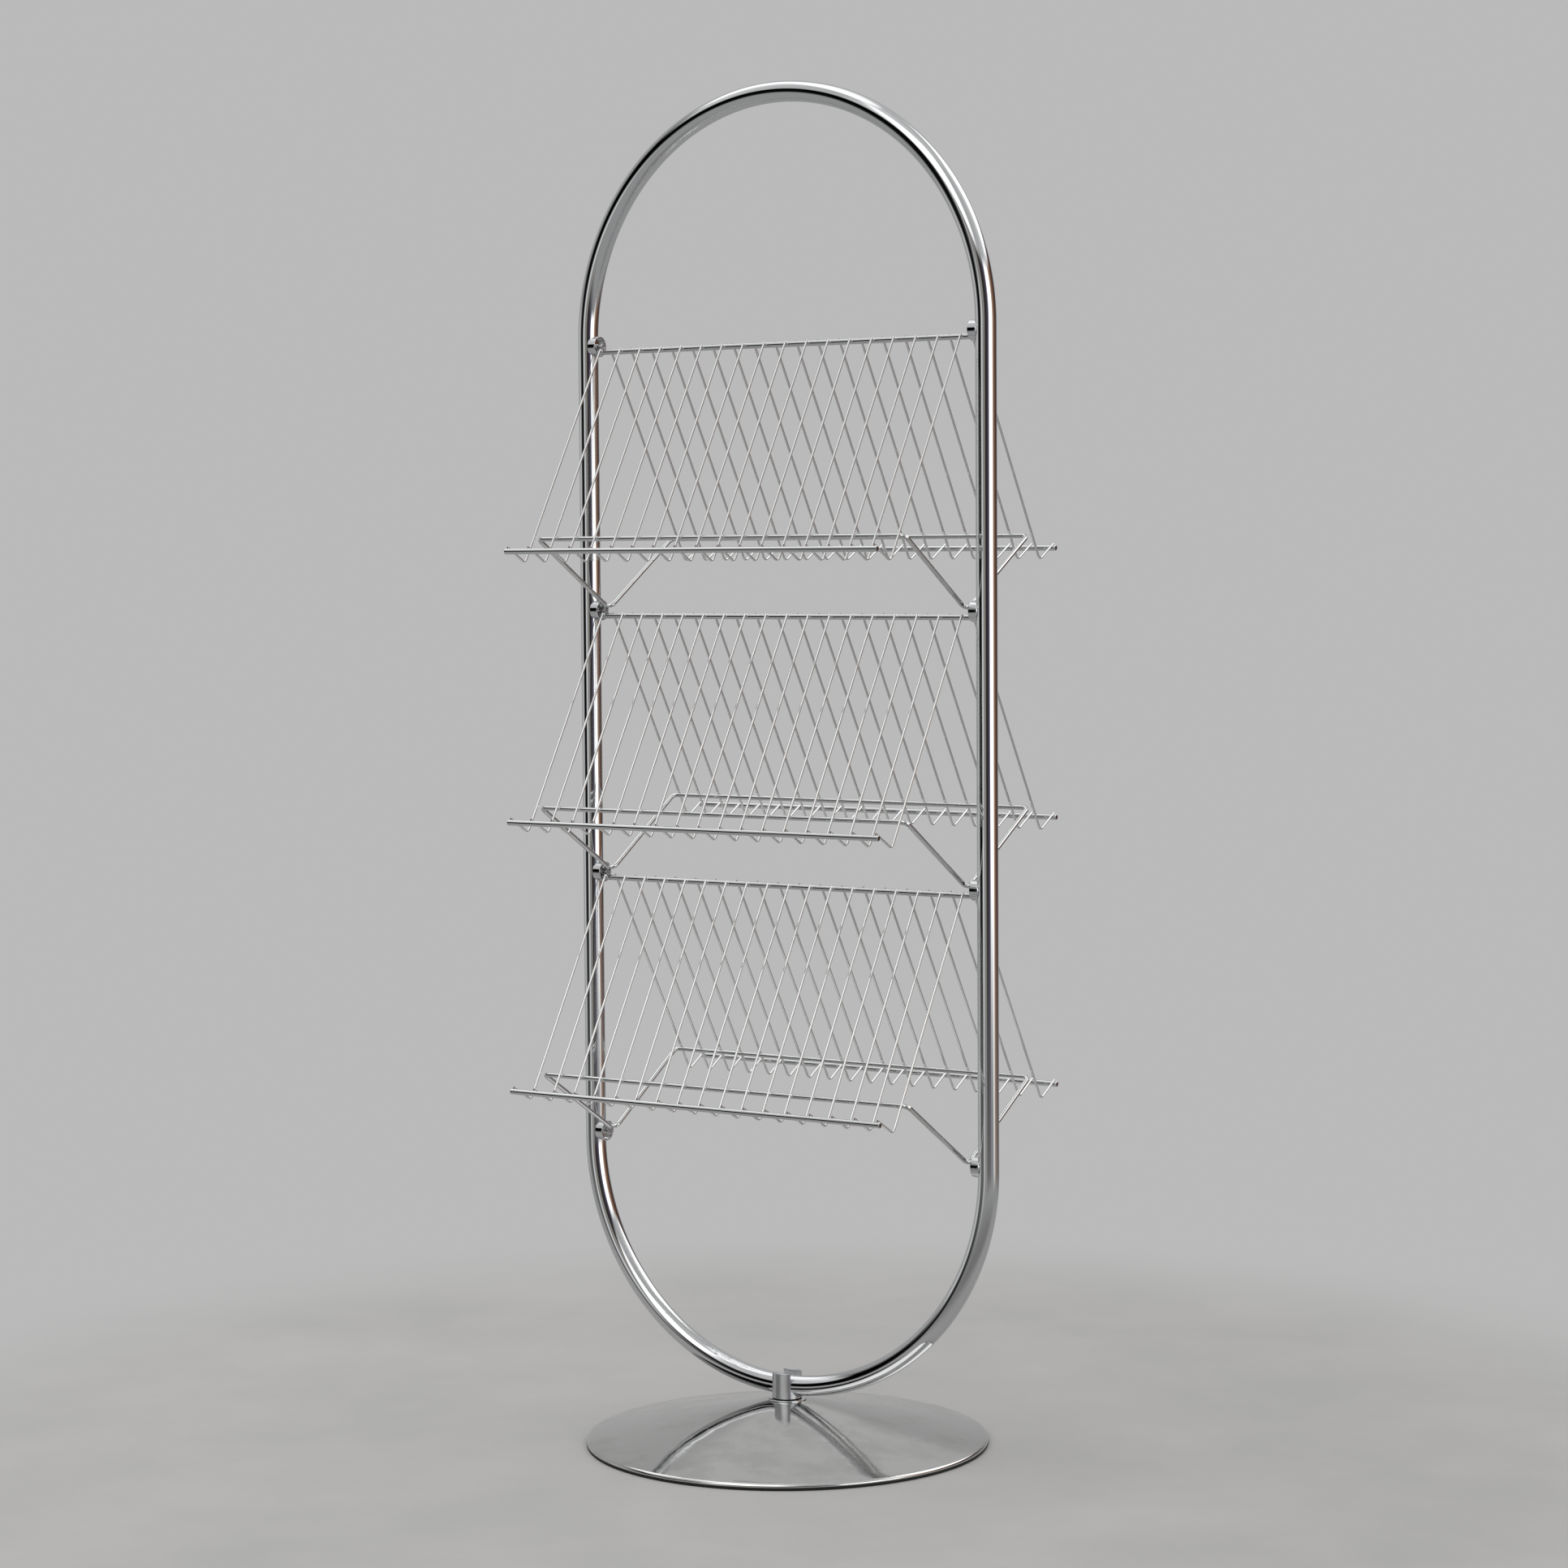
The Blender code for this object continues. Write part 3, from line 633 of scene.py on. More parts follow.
class Finish(Enum):
    """The finishes of the rack, each named for what the real one is and how its surface was made."""

    # Bright chrome plate on polished tube: mirror-like, with long faint waves and handling marks.
    TUBE_CHROME = Metal(
        "chrome_plate_on_polished_tube", "chrome", "cecfd0", 0.008, 0.03, wave_depth_mm=0.006
    )
    # Chrome plate on a spun steel cone: spinning leaves rings and shallow waves that bend reflections.
    SPUN_CHROME = Metal(
        "chrome_plate_on_spun_cone", "chrome", "c9c9c8", 0.04, 0.13,
        haze_mm=55.0, wave_mm=30.0, wave_depth_mm=0.16, line_mm=0.9, line_depth_mm=0.0006,
        speck=0.3, stain=0.22, brushed=0.8,
    )
    # Chrome plate on small turned cups: mirror-like, with no room for long waves.
    CUP_CHROME = Metal(
        "chrome_plate_on_turned_cups", "chrome", "cecfd0", 0.015, 0.05, haze_mm=12.0, wave_mm=9.0
    )
    # Chrome plate on drawn wire: bright but softer than the tube, as the drawing lines show through.
    WIRE_CHROME = Metal(
        "chrome_plate_on_drawn_wire", "bright_wire", "dfe0e0", 0.02, 0.06,
        haze_mm=18.0, wave_mm=12.0, speck=0.3,
    )
    # Chrome plate on drawn rod: thicker than the wire, and polished before plating.
    ROD_CHROME = Metal(
        "chrome_plate_on_drawn_rod", "bright_wire", "cacbcb", 0.015, 0.04, haze_mm=18.0, wave_mm=12.0
    )
    # Turned and polished steel: fine rings from the lathe.
    TURNED_STEEL = Metal(
        "turned_and_polished_steel", "polished_steel", "c6c7c8", 0.32, 0.40,
        haze_mm=10.0, wave_mm=8.0, line_mm=0.35, line_depth_mm=0.0002, brushed=0.95,
    )
    # Sheared wire and rod ends: the plating stops short, so they show dull brownish steel.
    CUT_STEEL = Metal(
        "sheared_steel_ends", "bright_wire", "76625a", 0.35, 0.55,
        haze_mm=2.0, wave_mm=0.8, tint="4a3a33", speck=0.9,
    )
    # Zinc plate on turned screws and washers: satin, with a blue-grey cloudiness.
    ZINC = Metal(
        "zinc_plate_on_steel", "zinc_plated_steel", "b4b8ba", 0.30, 0.45,
        haze_mm=6.0, tint="8a8d8c", speck=0.5,
    )
    # Sand-cast iron: dark grey with the grain of the sand.
    CAST_IRON = Matte("sand_cast_iron", "cast_iron", "3a3a3b", "4b4743", 0.68, 0.9, 0.12, 0.5)
    # Moulded rubber: nearly black, with a fine grain and a little floor dust.
    RUBBER = Matte("moulded_black_rubber", "black_rubber", "0c0c0c", "171613", 0.72, 0.5, 0.02)
    # Black nylon washers: smooth and slightly waxy.
    NYLON = Matte("black_nylon", "black_nylon", "1b1b1c", "232324", 0.42, 0.8, 0.004)

    @property
    def material(self) -> bpy.types.Material:
        """The node material of the finish."""
        return self.value.build()


def register(piece: bpy.types.Object, body: str, finish: Finish, *nodes: str) -> None:
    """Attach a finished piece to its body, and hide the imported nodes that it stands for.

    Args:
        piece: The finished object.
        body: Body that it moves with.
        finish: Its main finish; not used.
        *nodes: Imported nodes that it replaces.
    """
    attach(piece, body)
    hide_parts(*nodes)
    LOG.info("%s rides on %s and stands for %s", piece.name, body, ", ".join(nodes))


def middle(node: str) -> Array:
    """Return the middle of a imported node's box."""
    low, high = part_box(node)
    return (np.array(low) + np.array(high)) / 2.0


def round_box(node: str) -> tuple[float, float, float]:
    """Return the radius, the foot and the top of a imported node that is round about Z."""
    low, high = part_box(node)
    return float(high[0]), float(low[2]), float(high[2])


# --- sub-assemblies ---
@dataclass(frozen=True)
class Hoop:
    """The closed hoop of bent tube.

    Args:
        tube_radius: Outer radius of the tube.
        end_gap: Distance between the two tube ends, which meet in the saddle.
        cup_clear: How far the lowest cups sit above the end of the lower bends.
        sides: Sides of the tube.
        arc_steps: Steps of each half circle.
        straight_steps: Steps of each upright.
    """

    tube_radius: float = 11.0 * MM
    end_gap: float = 1.0 * MM
    cup_clear: float = 4.5 * MM
    sides: int = 48
    arc_steps: int = 120
    straight_steps: int = 24

    def path(self) -> Array:
        """Centre line: a quarter circle, an upright, a half circle, an upright, a quarter circle."""
        reach, _, top = round_box("hoop_tube")
        bend = reach - self.tube_radius
        upper = top - self.tube_radius - bend
        lower = float(middle("hub_cup_left_4")[2]) - self.cup_clear
        quarter = np.linspace(self.end_gap / 2 / bend, math.pi / 2, self.arc_steps // 2 + 1)
        half = np.linspace(math.pi / 2, 1.5 * math.pi, self.arc_steps + 1)
        rise = np.linspace(lower, upper, self.straight_steps)[1:-1]
        right = np.stack([bend * np.sin(quarter), lower - bend * np.cos(quarter)], -1)
        upright = np.stack([np.full(len(rise), bend), rise], -1)
        arch = np.stack([bend * np.sin(half), upper - bend * np.cos(half)], -1)
        mirror = np.array([-1.0, 1.0])
        flat = np.concatenate([right, upright, arch, upright[::-1] * mirror, right[::-1] * mirror])
        return np.stack([flat[:, 0], np.zeros(len(flat)), flat[:, 1]], -1)

    def build(self) -> None:
        """Make the tube and attach it."""
        finish = Finish.TUBE_CHROME
        shell = sweep(self.path(), self.tube_radius, self.sides, (0.0, 1.0, 0.0))
        register(make_object("hoop", shell, [finish.material]), "rack", finish, "hoop_tube")


@dataclass(frozen=True)
class Cups:
    """The cups on the uprights and their screws.

    Args:
        tube_radius: Radius of the upright that the back of a cup is cut to.
        seat_gap: Gap between that cut and the tube.
        upright: Distance of the uprights' centre lines from the middle.
        inset: How far the rim of a cup stands off the upright's centre line.
        radius: Outer radius of a cup.
        length: Length along X.
        bore: Inner radius of a cup.
        depth: Depth of a cup.
        boss: Radius of the boss in the middle.
        proud: How far the boss stands out of the rim.
        edge: Rounding of the rims.
        shoulder: Chamfer at the back.
        soft: Rounding of that chamfer, and how far the hole clears the shank.
        step: Longest step along the outline.
        head_gap: Gap between the boss and the screw's head.
        screw_head: Radius of the screw's head.
        head_height: Height of the head.
        screw_length: Length of the shank.
        socket: Half the width across the flats of the hexagon.
        socket_depth: Depth of the hexagon.
        shank: Radius of the shank.
        sides: Sides of a cup.
        screw_sides: Sides of a screw, a multiple of six.
    """

    tube_radius: float = 11.0 * MM
    seat_gap: float = 0.05 * MM
    upright: float = 250.0 * MM
    inset: float = 16.0 * MM
    radius: float = 11.0 * MM
    length: float = 10.5 * MM
    bore: float = 9.4 * MM
    depth: float = 3.8 * MM
    boss: float = 2.7 * MM
    proud: float = 0.7 * MM
    edge: float = 0.35 * MM
    shoulder: float = 1.2 * MM
    soft: float = 0.3 * MM
    step: float = 0.9 * MM
    head_gap: float = 0.05 * MM
    screw_head: float = 2.75 * MM
    head_height: float = 3.0 * MM
    screw_length: float = 10.0 * MM
    socket: float = 1.3 * MM
    socket_depth: float = 1.5 * MM
    shank: float = 1.5 * MM
    sides: int = 56
    screw_sides: int = 36

    def cup(self) -> Shell:
        """One right-hand cup about X, its back cut to the tube.

        The turned outline's X is held to at most -sqrt(R^2 - y^2) of the tube's radius R, so that the
        back follows the tube.
        """
        face = -self.inset
        floor, back, tip = face + self.depth, face + self.length, face - self.proud
        hole, edge, soft = self.shank + self.soft, self.edge, self.soft
        profile = outline(
            [
                (hole, tip, 0.0),
                (self.boss, tip, edge),
                (self.boss, floor, edge),
                (self.bore, floor, edge),
                (self.bore, face, edge),
                (self.radius, face, edge),
                (self.radius, back - self.shoulder, soft),
                (self.radius - self.shoulder, back, soft),
                (hole, back, 0.0),
            ]
        )
        shell = lathe(self.densify(profile, self.step), self.sides).about_x()
        seat = self.tube_radius + self.seat_gap
        limit = -np.sqrt(np.maximum(seat**2 - shell.points[:, 1] ** 2, 0.0))
        shell.points[:, 0] = np.minimum(shell.points[:, 0], limit)
        return shell

    @staticmethod
    def densify(profile: Array, step: float) -> Array:
        """Split the long runs of a closed outline into steps no longer than the given one."""
        pieces = []
        for here, after in zip(profile, np.roll(profile, -1, axis=0)):
            count = max(1, math.ceil(float(np.linalg.norm(after - here)) / step))
            pieces.append(here + (after - here) * (np.arange(count)[:, None] / count))
        return np.concatenate(pieces)

    def screw(self) -> Shell:
        """One right-hand cap screw about X with a hexagon socket.

        The socket's wall lies at radius s / cos(a mod 60 deg - 30 deg), and the rest is plain turned.
        """
        top = -self.inset - self.proud - self.head_gap - self.head_height
        head = top + self.head_height
        end = head + self.screw_length
        fine, small, soft = 0.1 * MM, 0.3 * MM, 0.35 * MM
        angle = np.arange(self.screw_sides) * TURN / self.screw_sides
        hexagon = 1.0 / np.cos(np.mod(angle, math.pi / 3) - math.pi / 6)
        # Radius, place along the axis, and how far the ring is a hexagon.
        table = np.array(
            [
                (self.socket * 0.97, top + self.socket_depth, 1.0),
                (self.socket, top + 0.15 * MM, 1.0),
                (self.socket * 1.12, top, 1.0),
                (self.screw_head - soft, top, 0.0),
                (self.screw_head - fine, top + fine, 0.0),
                (self.screw_head, top + soft, 0.0),
                (self.screw_head, head - fine, 0.0),
                (self.screw_head - fine, head, 0.0),
                (self.shank, head, 0.0),
                (self.shank, end - small, 0.0),
                (self.shank - small, end, 0.0),
            ]
        )
        reach = table[:, :1] * (1.0 + table[:, 2:] * (hexagon[None] - 1.0))
        along = np.broadcast_to(table[:, 1:2], reach.shape)
        grid = np.stack([reach * np.cos(angle), reach * np.sin(angle), along], -1)
        return tube_shell(grid).about_x()

    def build(self) -> None:
        """Make a cup and a screw at every hub and attach them."""
        parts = (("cup", self.cup(), Finish.CUP_CHROME), ("screw", self.screw(), Finish.TURNED_STEEL))
        for side, sign in (("right", 1.0), ("left", -1.0)):
            for i in range(1, 5):
                place = (sign * self.upright, 0.0, float(middle(f"hub_cup_{side}_{i}")[2]))
                for part, shell, finish in parts:
                    here = shell if sign > 0 else shell.turned_half()
                    piece = make_object(f"{part}_{side}_{i}", here.moved(place), [finish.material])
                    register(piece, "rack", finish, f"hub_{part}_{side}_{i}")


@dataclass(frozen=True)
class Tier:
    """One tier: its top rail, two support rods and two wire baskets.

    Depths are below the top rail, and distances out are from it, toward the front.

    Args:
        number: Number of the tier, from the top.
        rail_radius: Radius of the top rail and of the lip rails.
        rod_radius: Radius of the support rods.
        wire_radius: Radius of the wires.
        gap: Gap between a wire and the rail or the rod.
        rod_down: Depth of a support rod's straight run.
        rod_half_span: Half the length of that run.
        leg_half_span: Distance of the legs' lower corners from the middle.
        rod_bend: Radius of a rod's bends.
        cup_drop: Depth of the next cup.
        cup_offset: How far a rod's end sits out from and above the middle of that cup.
        wire_count: Wires in a basket.
        wire_pitch: Distance between the wires.
        stagger: How far the front wires are shifted along the rail.
        lean: Lean of the wires from the upright.
        past_rail: How far the wires' upper ends reach past the rail's middle.
        trough_down: Depth of the wires' lower corner.
        trough_bend: Radius of that corner.
        lip_angle: Rise of the wires' outer leg.
        lip_reach: Distance of the lip rail along that leg.
        lip_overhang: How far the lip rail reaches past the outer wires.
        past_lip: How far the legs reach past the lip rail's middle.
        weld_depth: How far the lip rail is sunk into the wires.
        bead: Half length of a weld bead.
        bead_height: Half height of a weld bead.
    """

    number: int
    rail_radius: float = 3.0 * MM
    rod_radius: float = 2.5 * MM
    wire_radius: float = 1.25 * MM
    gap: float = 0.3 * MM
    rod_down: float = 202.2 * MM
    rod_half_span: float = 228.0 * MM
    leg_half_span: float = 225.5 * MM
    rod_bend: float = 6.0 * MM
    cup_drop: float = 279.4 * MM
    cup_offset: float = 4.4 * MM
    wire_count: int = 18
    wire_pitch: float = 26.7 * MM
    stagger: float = 4.3 * MM
    lean: float = math.radians(31.0)
    past_rail: float = 1.0 * MM
    trough_down: float = 227.2 * MM
    trough_bend: float = 5.0 * MM
    lip_angle: float = math.radians(29.3)
    lip_reach: float = 31.6 * MM
    lip_overhang: float = 3.5 * MM
    past_lip: float = 2.2 * MM
    weld_depth: float = 0.5 * MM
    bead: float = 1.5 * MM
    bead_height: float = 0.75 * MM

    @property
    def along(self) -> Array:
        """Direction of the front wires, downward."""
        return np.array([0.0, -math.sin(self.lean), -math.cos(self.lean)])

    @property
    def across(self) -> Array:
        """Direction square to the front wires, outward."""
        return np.array([0.0, -math.cos(self.lean), math.sin(self.lean)])

    @property
    def leg(self) -> Array:
        """Direction of the front wires' outer leg."""
        return np.array([0.0, -math.cos(self.lip_angle), math.sin(self.lip_angle)])

    @property
    def trough(self) -> Array:
        """Lower corner of a front wire, before it is rounded."""
        return np.array([0.0, -self.out(self.trough_down), -self.trough_down])

    def out(self, down: float) -> float:
        """Distance of the wires out from the rail, at a depth below it."""
        seat = self.rail_radius + self.gap + self.wire_radius
        return (seat + down * math.sin(self.lean)) / math.cos(self.lean)

    def rod_out(self) -> float:
        """Distance of the support rod's straight run out from the rail."""
        seat = self.rod_radius + self.gap + self.wire_radius
        return self.out(self.rod_down) - seat / math.cos(self.lean)

    def straight(self, left: float, right: float) -> Shell:
        """A straight rail along X between two places."""
        path = np.linspace([left, 0.0, 0.0], [right, 0.0, 0.0], 9)
        return round_bar(path, self.rail_radius, 24, (0.0, 1.0, 0.0))

    def rod(self, end: float) -> Shell:
        """The bent support rod of the front side, which ends at plus and minus the given place."""
        cup = -self.cup_drop + self.cup_offset
        half = np.array(
            [
                [end, -self.cup_offset, cup],
                [self.leg_half_span, -self.cup_offset, cup],
                [self.rod_half_span, -self.rod_out(), -self.rod_down],
            ]
        )
        corners = np.concatenate([half, half[::-1] * np.array([-1.0, 1.0, 1.0])])
        slope = half[2] - half[1]
        normal = np.cross([1.0, 0.0, 0.0], [0.0, slope[1], slope[2]])
        return round_bar(rounded_path(corners, self.rod_bend, 10), self.rod_radius, 20, normal)

    def wire(self) -> Shell:
        """One front wire, at x = 0."""
        touch = self.across * (self.rail_radius + self.gap + self.wire_radius)
        tip = self.trough + self.leg * (self.lip_reach + self.past_lip)
        corners = np.array([touch - self.along * self.past_rail, self.trough, tip])
        path = rounded_path(corners, self.trough_bend, 8)
        return round_bar(path, self.wire_radius, 12, (1.0, 0.0, 0.0))

    def welds(self, x: Array) -> Shell:
        """Small beads where the wires are welded to the rail and the rod."""
        at_rail = self.across * (self.rail_radius + self.gap / 2)
        rod_centre = np.array([0.0, -self.rod_out(), -self.rod_down])
        at_rod = rod_centre + self.across * (self.rod_radius + self.gap / 2)
        # The first axis is turned round to keep the faces outward.
        axes = np.array([[-self.bead, 0.0, 0.0], self.along * self.bead, self.across * self.bead_height])
        beads = []
        for centre in (at_rail, at_rod):
            spots = np.stack([x, np.full(len(x), centre[1]), np.full(len(x), centre[2])], -1)
            beads.append(ellipsoids(spots, axes))
        return merge_shells(beads)

    def basket(self) -> Shell:
        """The front basket: wires, lip rail and weld beads."""
        first = -self.stagger - self.wire_pitch * (self.wire_count - 1) / 2
        x = first + self.wire_pitch * np.arange(self.wire_count)
        wire = self.wire()
        wires = merge_shells([wire.moved((float(place), 0.0, 0.0)) for place in x])
        outward = np.array([0.0, -math.sin(self.lip_angle), -math.cos(self.lip_angle)])
        sunk = self.rail_radius + self.wire_radius - self.weld_depth
        centre = self.trough + self.leg * self.lip_reach + outward * sunk
        lip = self.straight(x[0] - self.lip_overhang, x[-1] + self.lip_overhang).moved(centre)
        return merge_shells([wires, lip.painted(2), self.welds(x)])

    def build(self) -> None:
        """Make the five pieces of the tier and attach them."""
        rod_finishes = [Finish.ROD_CHROME.material, Finish.CUT_STEEL.material]
        wire_finishes = [Finish.WIRE_CHROME.material, Finish.CUT_STEEL.material, rod_finishes[0]]
        rail_node = f"top_rail_{self.number}"
        place = middle(rail_node)
        low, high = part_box(rail_node)
        half = float(high[0] - low[0]) / 2.0
        shell = self.straight(-half, half).moved(place)
        rail = make_object(f"rail_{self.number}", shell, rod_finishes)
        register(rail, "rack", Finish.ROD_CHROME, rail_node)
        parts = (
            ("rod", "support_rod", self.rod(half), rod_finishes),
            ("basket", "wire_basket", self.basket(), wire_finishes),
        )
        for side in ("front", "back"):
            for part, node, shell, finishes in parts:
                here = shell if side == "front" else shell.turned_half()
                piece = make_object(f"{part}_{side}_{self.number}", here.moved(place), finishes)
                register(piece, "rack", Finish.WIRE_CHROME, f"{node}_{side}_{self.number}")


@dataclass(frozen=True)
class Saddle:
    """The slotted post that holds the hoop.

    Args:
        radius: Radius of the post.
        slot: Half width of the slot.
        journal: Radius of the journal below the post.
        bore: Radius of the hole for the screw.
        tube_height: Height of the middle of the tube in the slot.
        edge: Rounding of the post's edges.
        foot: Height of the foot of the post.
        lap: How far the journal reaches into the post.
        chamfer: Rounding of the journal's end.
        sharp: Edges that bend more than this, in degrees, get rounded.
        columns: Columns of points over half the slot.
        rows: Rows of points over each height.
        sides: Sides of the journal.
    """

    radius: float = 16.0 * MM
    slot: float = 11.05 * MM
    journal: float = 9.0 * MM
    bore: float = 4.3 * MM
    tube_height: float = 61.6 * MM
    edge: float = 0.5 * MM
    foot: float = 48.6 * MM
    lap: float = 0.2 * MM
    chamfer: float = 0.3 * MM
    sharp: float = 50.0
    columns: int = 24
    rows: int = 9
    sides: int = 48

    def body(self, top: float) -> Shell:
        """The post from its foot up.

        Its side view is a U in the YZ plane, made of a lower block with a round seat and of two prongs.
        Every point of the view becomes two points of the round surface, at x = plus and minus
        sqrt(R^2 - y^2).
        """
        inner = np.linspace(-self.slot, self.slot, 2 * self.columns + 1)
        outer = self.radius * np.sin(np.linspace(math.asin(self.slot / self.radius), math.pi / 2, 9))
        y = np.concatenate([-outer[::-1], inner[1:-1], outer])
        floor = np.full(len(y), self.tube_height)
        within = np.abs(y) < self.slot - 1e-9
        floor[within] -= np.sqrt(self.slot**2 - y[within] ** 2)
        share = np.linspace(0.0, 1.0, self.rows)[:, None]
        shells = [self.plate(y, self.foot + (floor[None] - self.foot) * share)]
        rise = np.linspace(self.tube_height, top, self.rows)[:, None]
        for prong in (-outer[::-1], outer):
            shells.append(self.plate(prong, np.broadcast_to(rise, (self.rows, len(prong)))))
        return merge_shells(shells)

    def plate(self, y: Array, z: Array) -> Shell:
        """Close a grid of the side view into a solid: both round faces and the strips round its edge.

        Args:
            y: Places of the columns.
            z: Heights, shaped (rows, columns).

        Returns:
            The closed shell.
        """
        reach = np.sqrt(np.maximum(self.radius**2 - y**2, 0.0))
        front = np.stack([np.broadcast_to(reach, z.shape), np.broadcast_to(y, z.shape), z], -1)
        back = front * np.array([-1.0, 1.0, 1.0])
        near = np.arange(z.size).reshape(z.shape)
        far = near + z.size
        faces = (
            (near[:-1, :-1], near[:-1, 1:], near[1:, 1:], near[1:, :-1]),
            (far[:-1, :-1], far[1:, :-1], far[1:, 1:], far[:-1, 1:]),
            (near[0, :-1], far[0, :-1], far[0, 1:], near[0, 1:]),
            (near[-1, :-1], near[-1, 1:], far[-1, 1:], far[-1, :-1]),
            (near[:-1, 0], near[1:, 0], far[1:, 0], far[:-1, 0]),
            (near[:-1, -1], far[:-1, -1], far[1:, -1], near[1:, -1]),
        )
        quads = np.concatenate([np.stack(corners, -1).reshape(-1, 4) for corners in faces])
        return quad_shell(np.concatenate([front.reshape(-1, 3), back.reshape(-1, 3)]), quads)

    def build(self) -> None:
        """Make the post and its journal, weld the patches and attach them."""
        _, low, top = round_box("saddle_post")
        head = self.foot + self.lap
        profile = outline(
            [
                (self.bore, low, 0.0),
                (self.journal, low, self.chamfer),
                (self.journal, head, 0.0),
                (self.bore, head, 0.0),
            ]
        )
        shell = merge_shells([self.body(top), lathe(profile, self.sides)])
        piece = make_object("post", shell, [Finish.TURNED_STEEL.material], 30.0)
        weld_points(piece)
        bevel = piece.modifiers.new("soft_edges", "BEVEL")
        bevel.width = self.edge
        bevel.segments = 2
        bevel.limit_method = "ANGLE"
        bevel.angle_limit = math.radians(self.sharp)
        register(piece, "rack", Finish.TURNED_STEEL, "saddle_post")


@dataclass(frozen=True)
class Base:
    """The round base: cone, rubber ring, bush with its flange and washers, and the nut underneath.

    Args:
        wall: Thickness of the spun cone.
        roll: Radius of the rolled rim.
        shoulder: Height of the top of the roll.
        flat: Radius of the flat on top of the cone.
        bush: Radius of the bush under its flange.
        bush_gap: Gap between the bush and the cone.
        flange_gap: Gap between the cone's top and the bush's flange.
        bore: Radius of the hole through the bush.
        sides: Sides of the cone.
        ring_width: Width of the rubber ring.
    """

    wall: float = 1.5 * MM
    roll: float = 3.4 * MM
    shoulder: float = 7.2 * MM
    flat: float = 22.0 * MM
    bush: float = 12.5 * MM
    bush_gap: float = 0.3 * MM
    flange_gap: float = 0.1 * MM
    bore: float = 9.3 * MM
    sides: int = 192
    ring_width: float = 6.0 * MM

    def cone(self) -> Shell:
        """The spun cone: flat, slope and rolled rim, with an inner skin a wall's thickness inside."""
        edge, foot, top = round_box("base_cone")
        centre = (edge - self.roll, self.shoulder - self.roll)
        slope = math.atan2(top - self.shoulder, centre[0] - self.flat)
        turn = np.linspace(math.pi / 2 - slope, 0.0, 13)
        run = np.linspace(0.0, 1.0, 17)[1:-1, None]

        def skin(radius: float, height: float, inset: float) -> Array:
            """Return one side of the wall, from the hole out and down round the roll."""
            arc = np.stack([centre[0] + radius * np.cos(turn), centre[1] + radius * np.sin(turn)], -1)
            start = np.array([self.flat - inset, height])
            slant = start + (arc[0] - start) * run
            return np.concatenate([[[self.bush + self.bush_gap, height]], [start], slant, arc])

        outer = skin(self.roll, top, 0.0)
        inner = skin(self.roll - self.wall, top - self.wall, self.wall * math.tan(slope / 2))
        rim = np.array([[edge, foot], [edge - self.wall, foot]])
        return lathe(np.concatenate([outer, rim, inner[::-1]]), self.sides)

    def build(self) -> None:
        """Make the pieces of the base and attach them."""
        cone = make_object("cone", self.cone(), [Finish.SPUN_CHROME.material], 50.0)
        register(cone, "base", Finish.SPUN_CHROME, "base_cone")
        for name, node, body, finish, sides, corners in (*self.foot_and_bush(), *self.washers()):
            profile = outline([(radius, height, edge * MM) for radius, height, edge in corners])
            register(make_object(name, lathe(profile, sides), [finish.material]), body, finish, node)

    def foot_and_bush(self) -> list[tuple[Any, ...]]:
        """List the rubber ring and the bush: names, body, finish, sides and outline."""
        edge, _, top = round_box("rim_ring")
        inner = edge - self.ring_width
        ring = [(inner, 0.0, 0.4), (edge, 0.0, 1.1), (edge, top, 0.4), (inner, top, 0.4)]
        flange, foot, head = round_box("pivot_bush")
        under = round_box("base_cone")[2] + self.flange_gap
        bush = [
            (self.bore, foot, 0.2),
            (self.bush, foot, 0.2),
            (self.bush, under, 0.0),
            (flange, under, 0.2),
            (flange, head, 0.5),
            (self.bore, head, 0.2),
        ]
        return [
            ("foot_ring", "rim_ring", "base", Finish.RUBBER, self.sides, ring),
            ("bush", "pivot_bush", "base", Finish.CUP_CHROME, 96, bush),
        ]

    @staticmethod
    def washers() -> list[tuple[Any, ...]]:
        """List the washers and the nut in the same way, as smooth turned rings."""
        rings = []
        for name, node, body, finish, bore_mm, edge, sides in (
            ("washer_slip", "slip_washer", "base", Finish.NYLON, 9.3, 0.1, 96),
            ("washer_thrust", "thrust_washer", "base", Finish.NYLON, 9.3, 0.15, 64),
            ("nut_ring", "bush_ring_nut", "base", Finish.ZINC, 12.8, 0.6, 96),
            ("washer_journal", "journal_washer", "rack", Finish.ZINC, 4.3, 0.3, 64),
            ("washer_spring", "spring_washer", "rack", Finish.ZINC, 4.3, 0.3, 48),
        ):
            bore = bore_mm * MM
            radius, foot, head = round_box(node)
            corners = [(bore, foot, 0.0), (radius, foot, edge), (radius, head, edge), (bore, head, 0.0)]
            rings.append((name, node, body, finish, sides, corners))
        return rings


def dress_nodes(nodes: dict[str, bpy.types.Object], table: dict[str, Finish]) -> None:
    """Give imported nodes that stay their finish.

    Args:
        nodes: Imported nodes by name.
        table: Finish by node name.
    """
    for name, finish in table.items():
        slots = nodes[name].data.materials
        slots.clear()
        slots.append(finish.material)
        LOG.info("%s stays, in %s", name, finish.value.name)


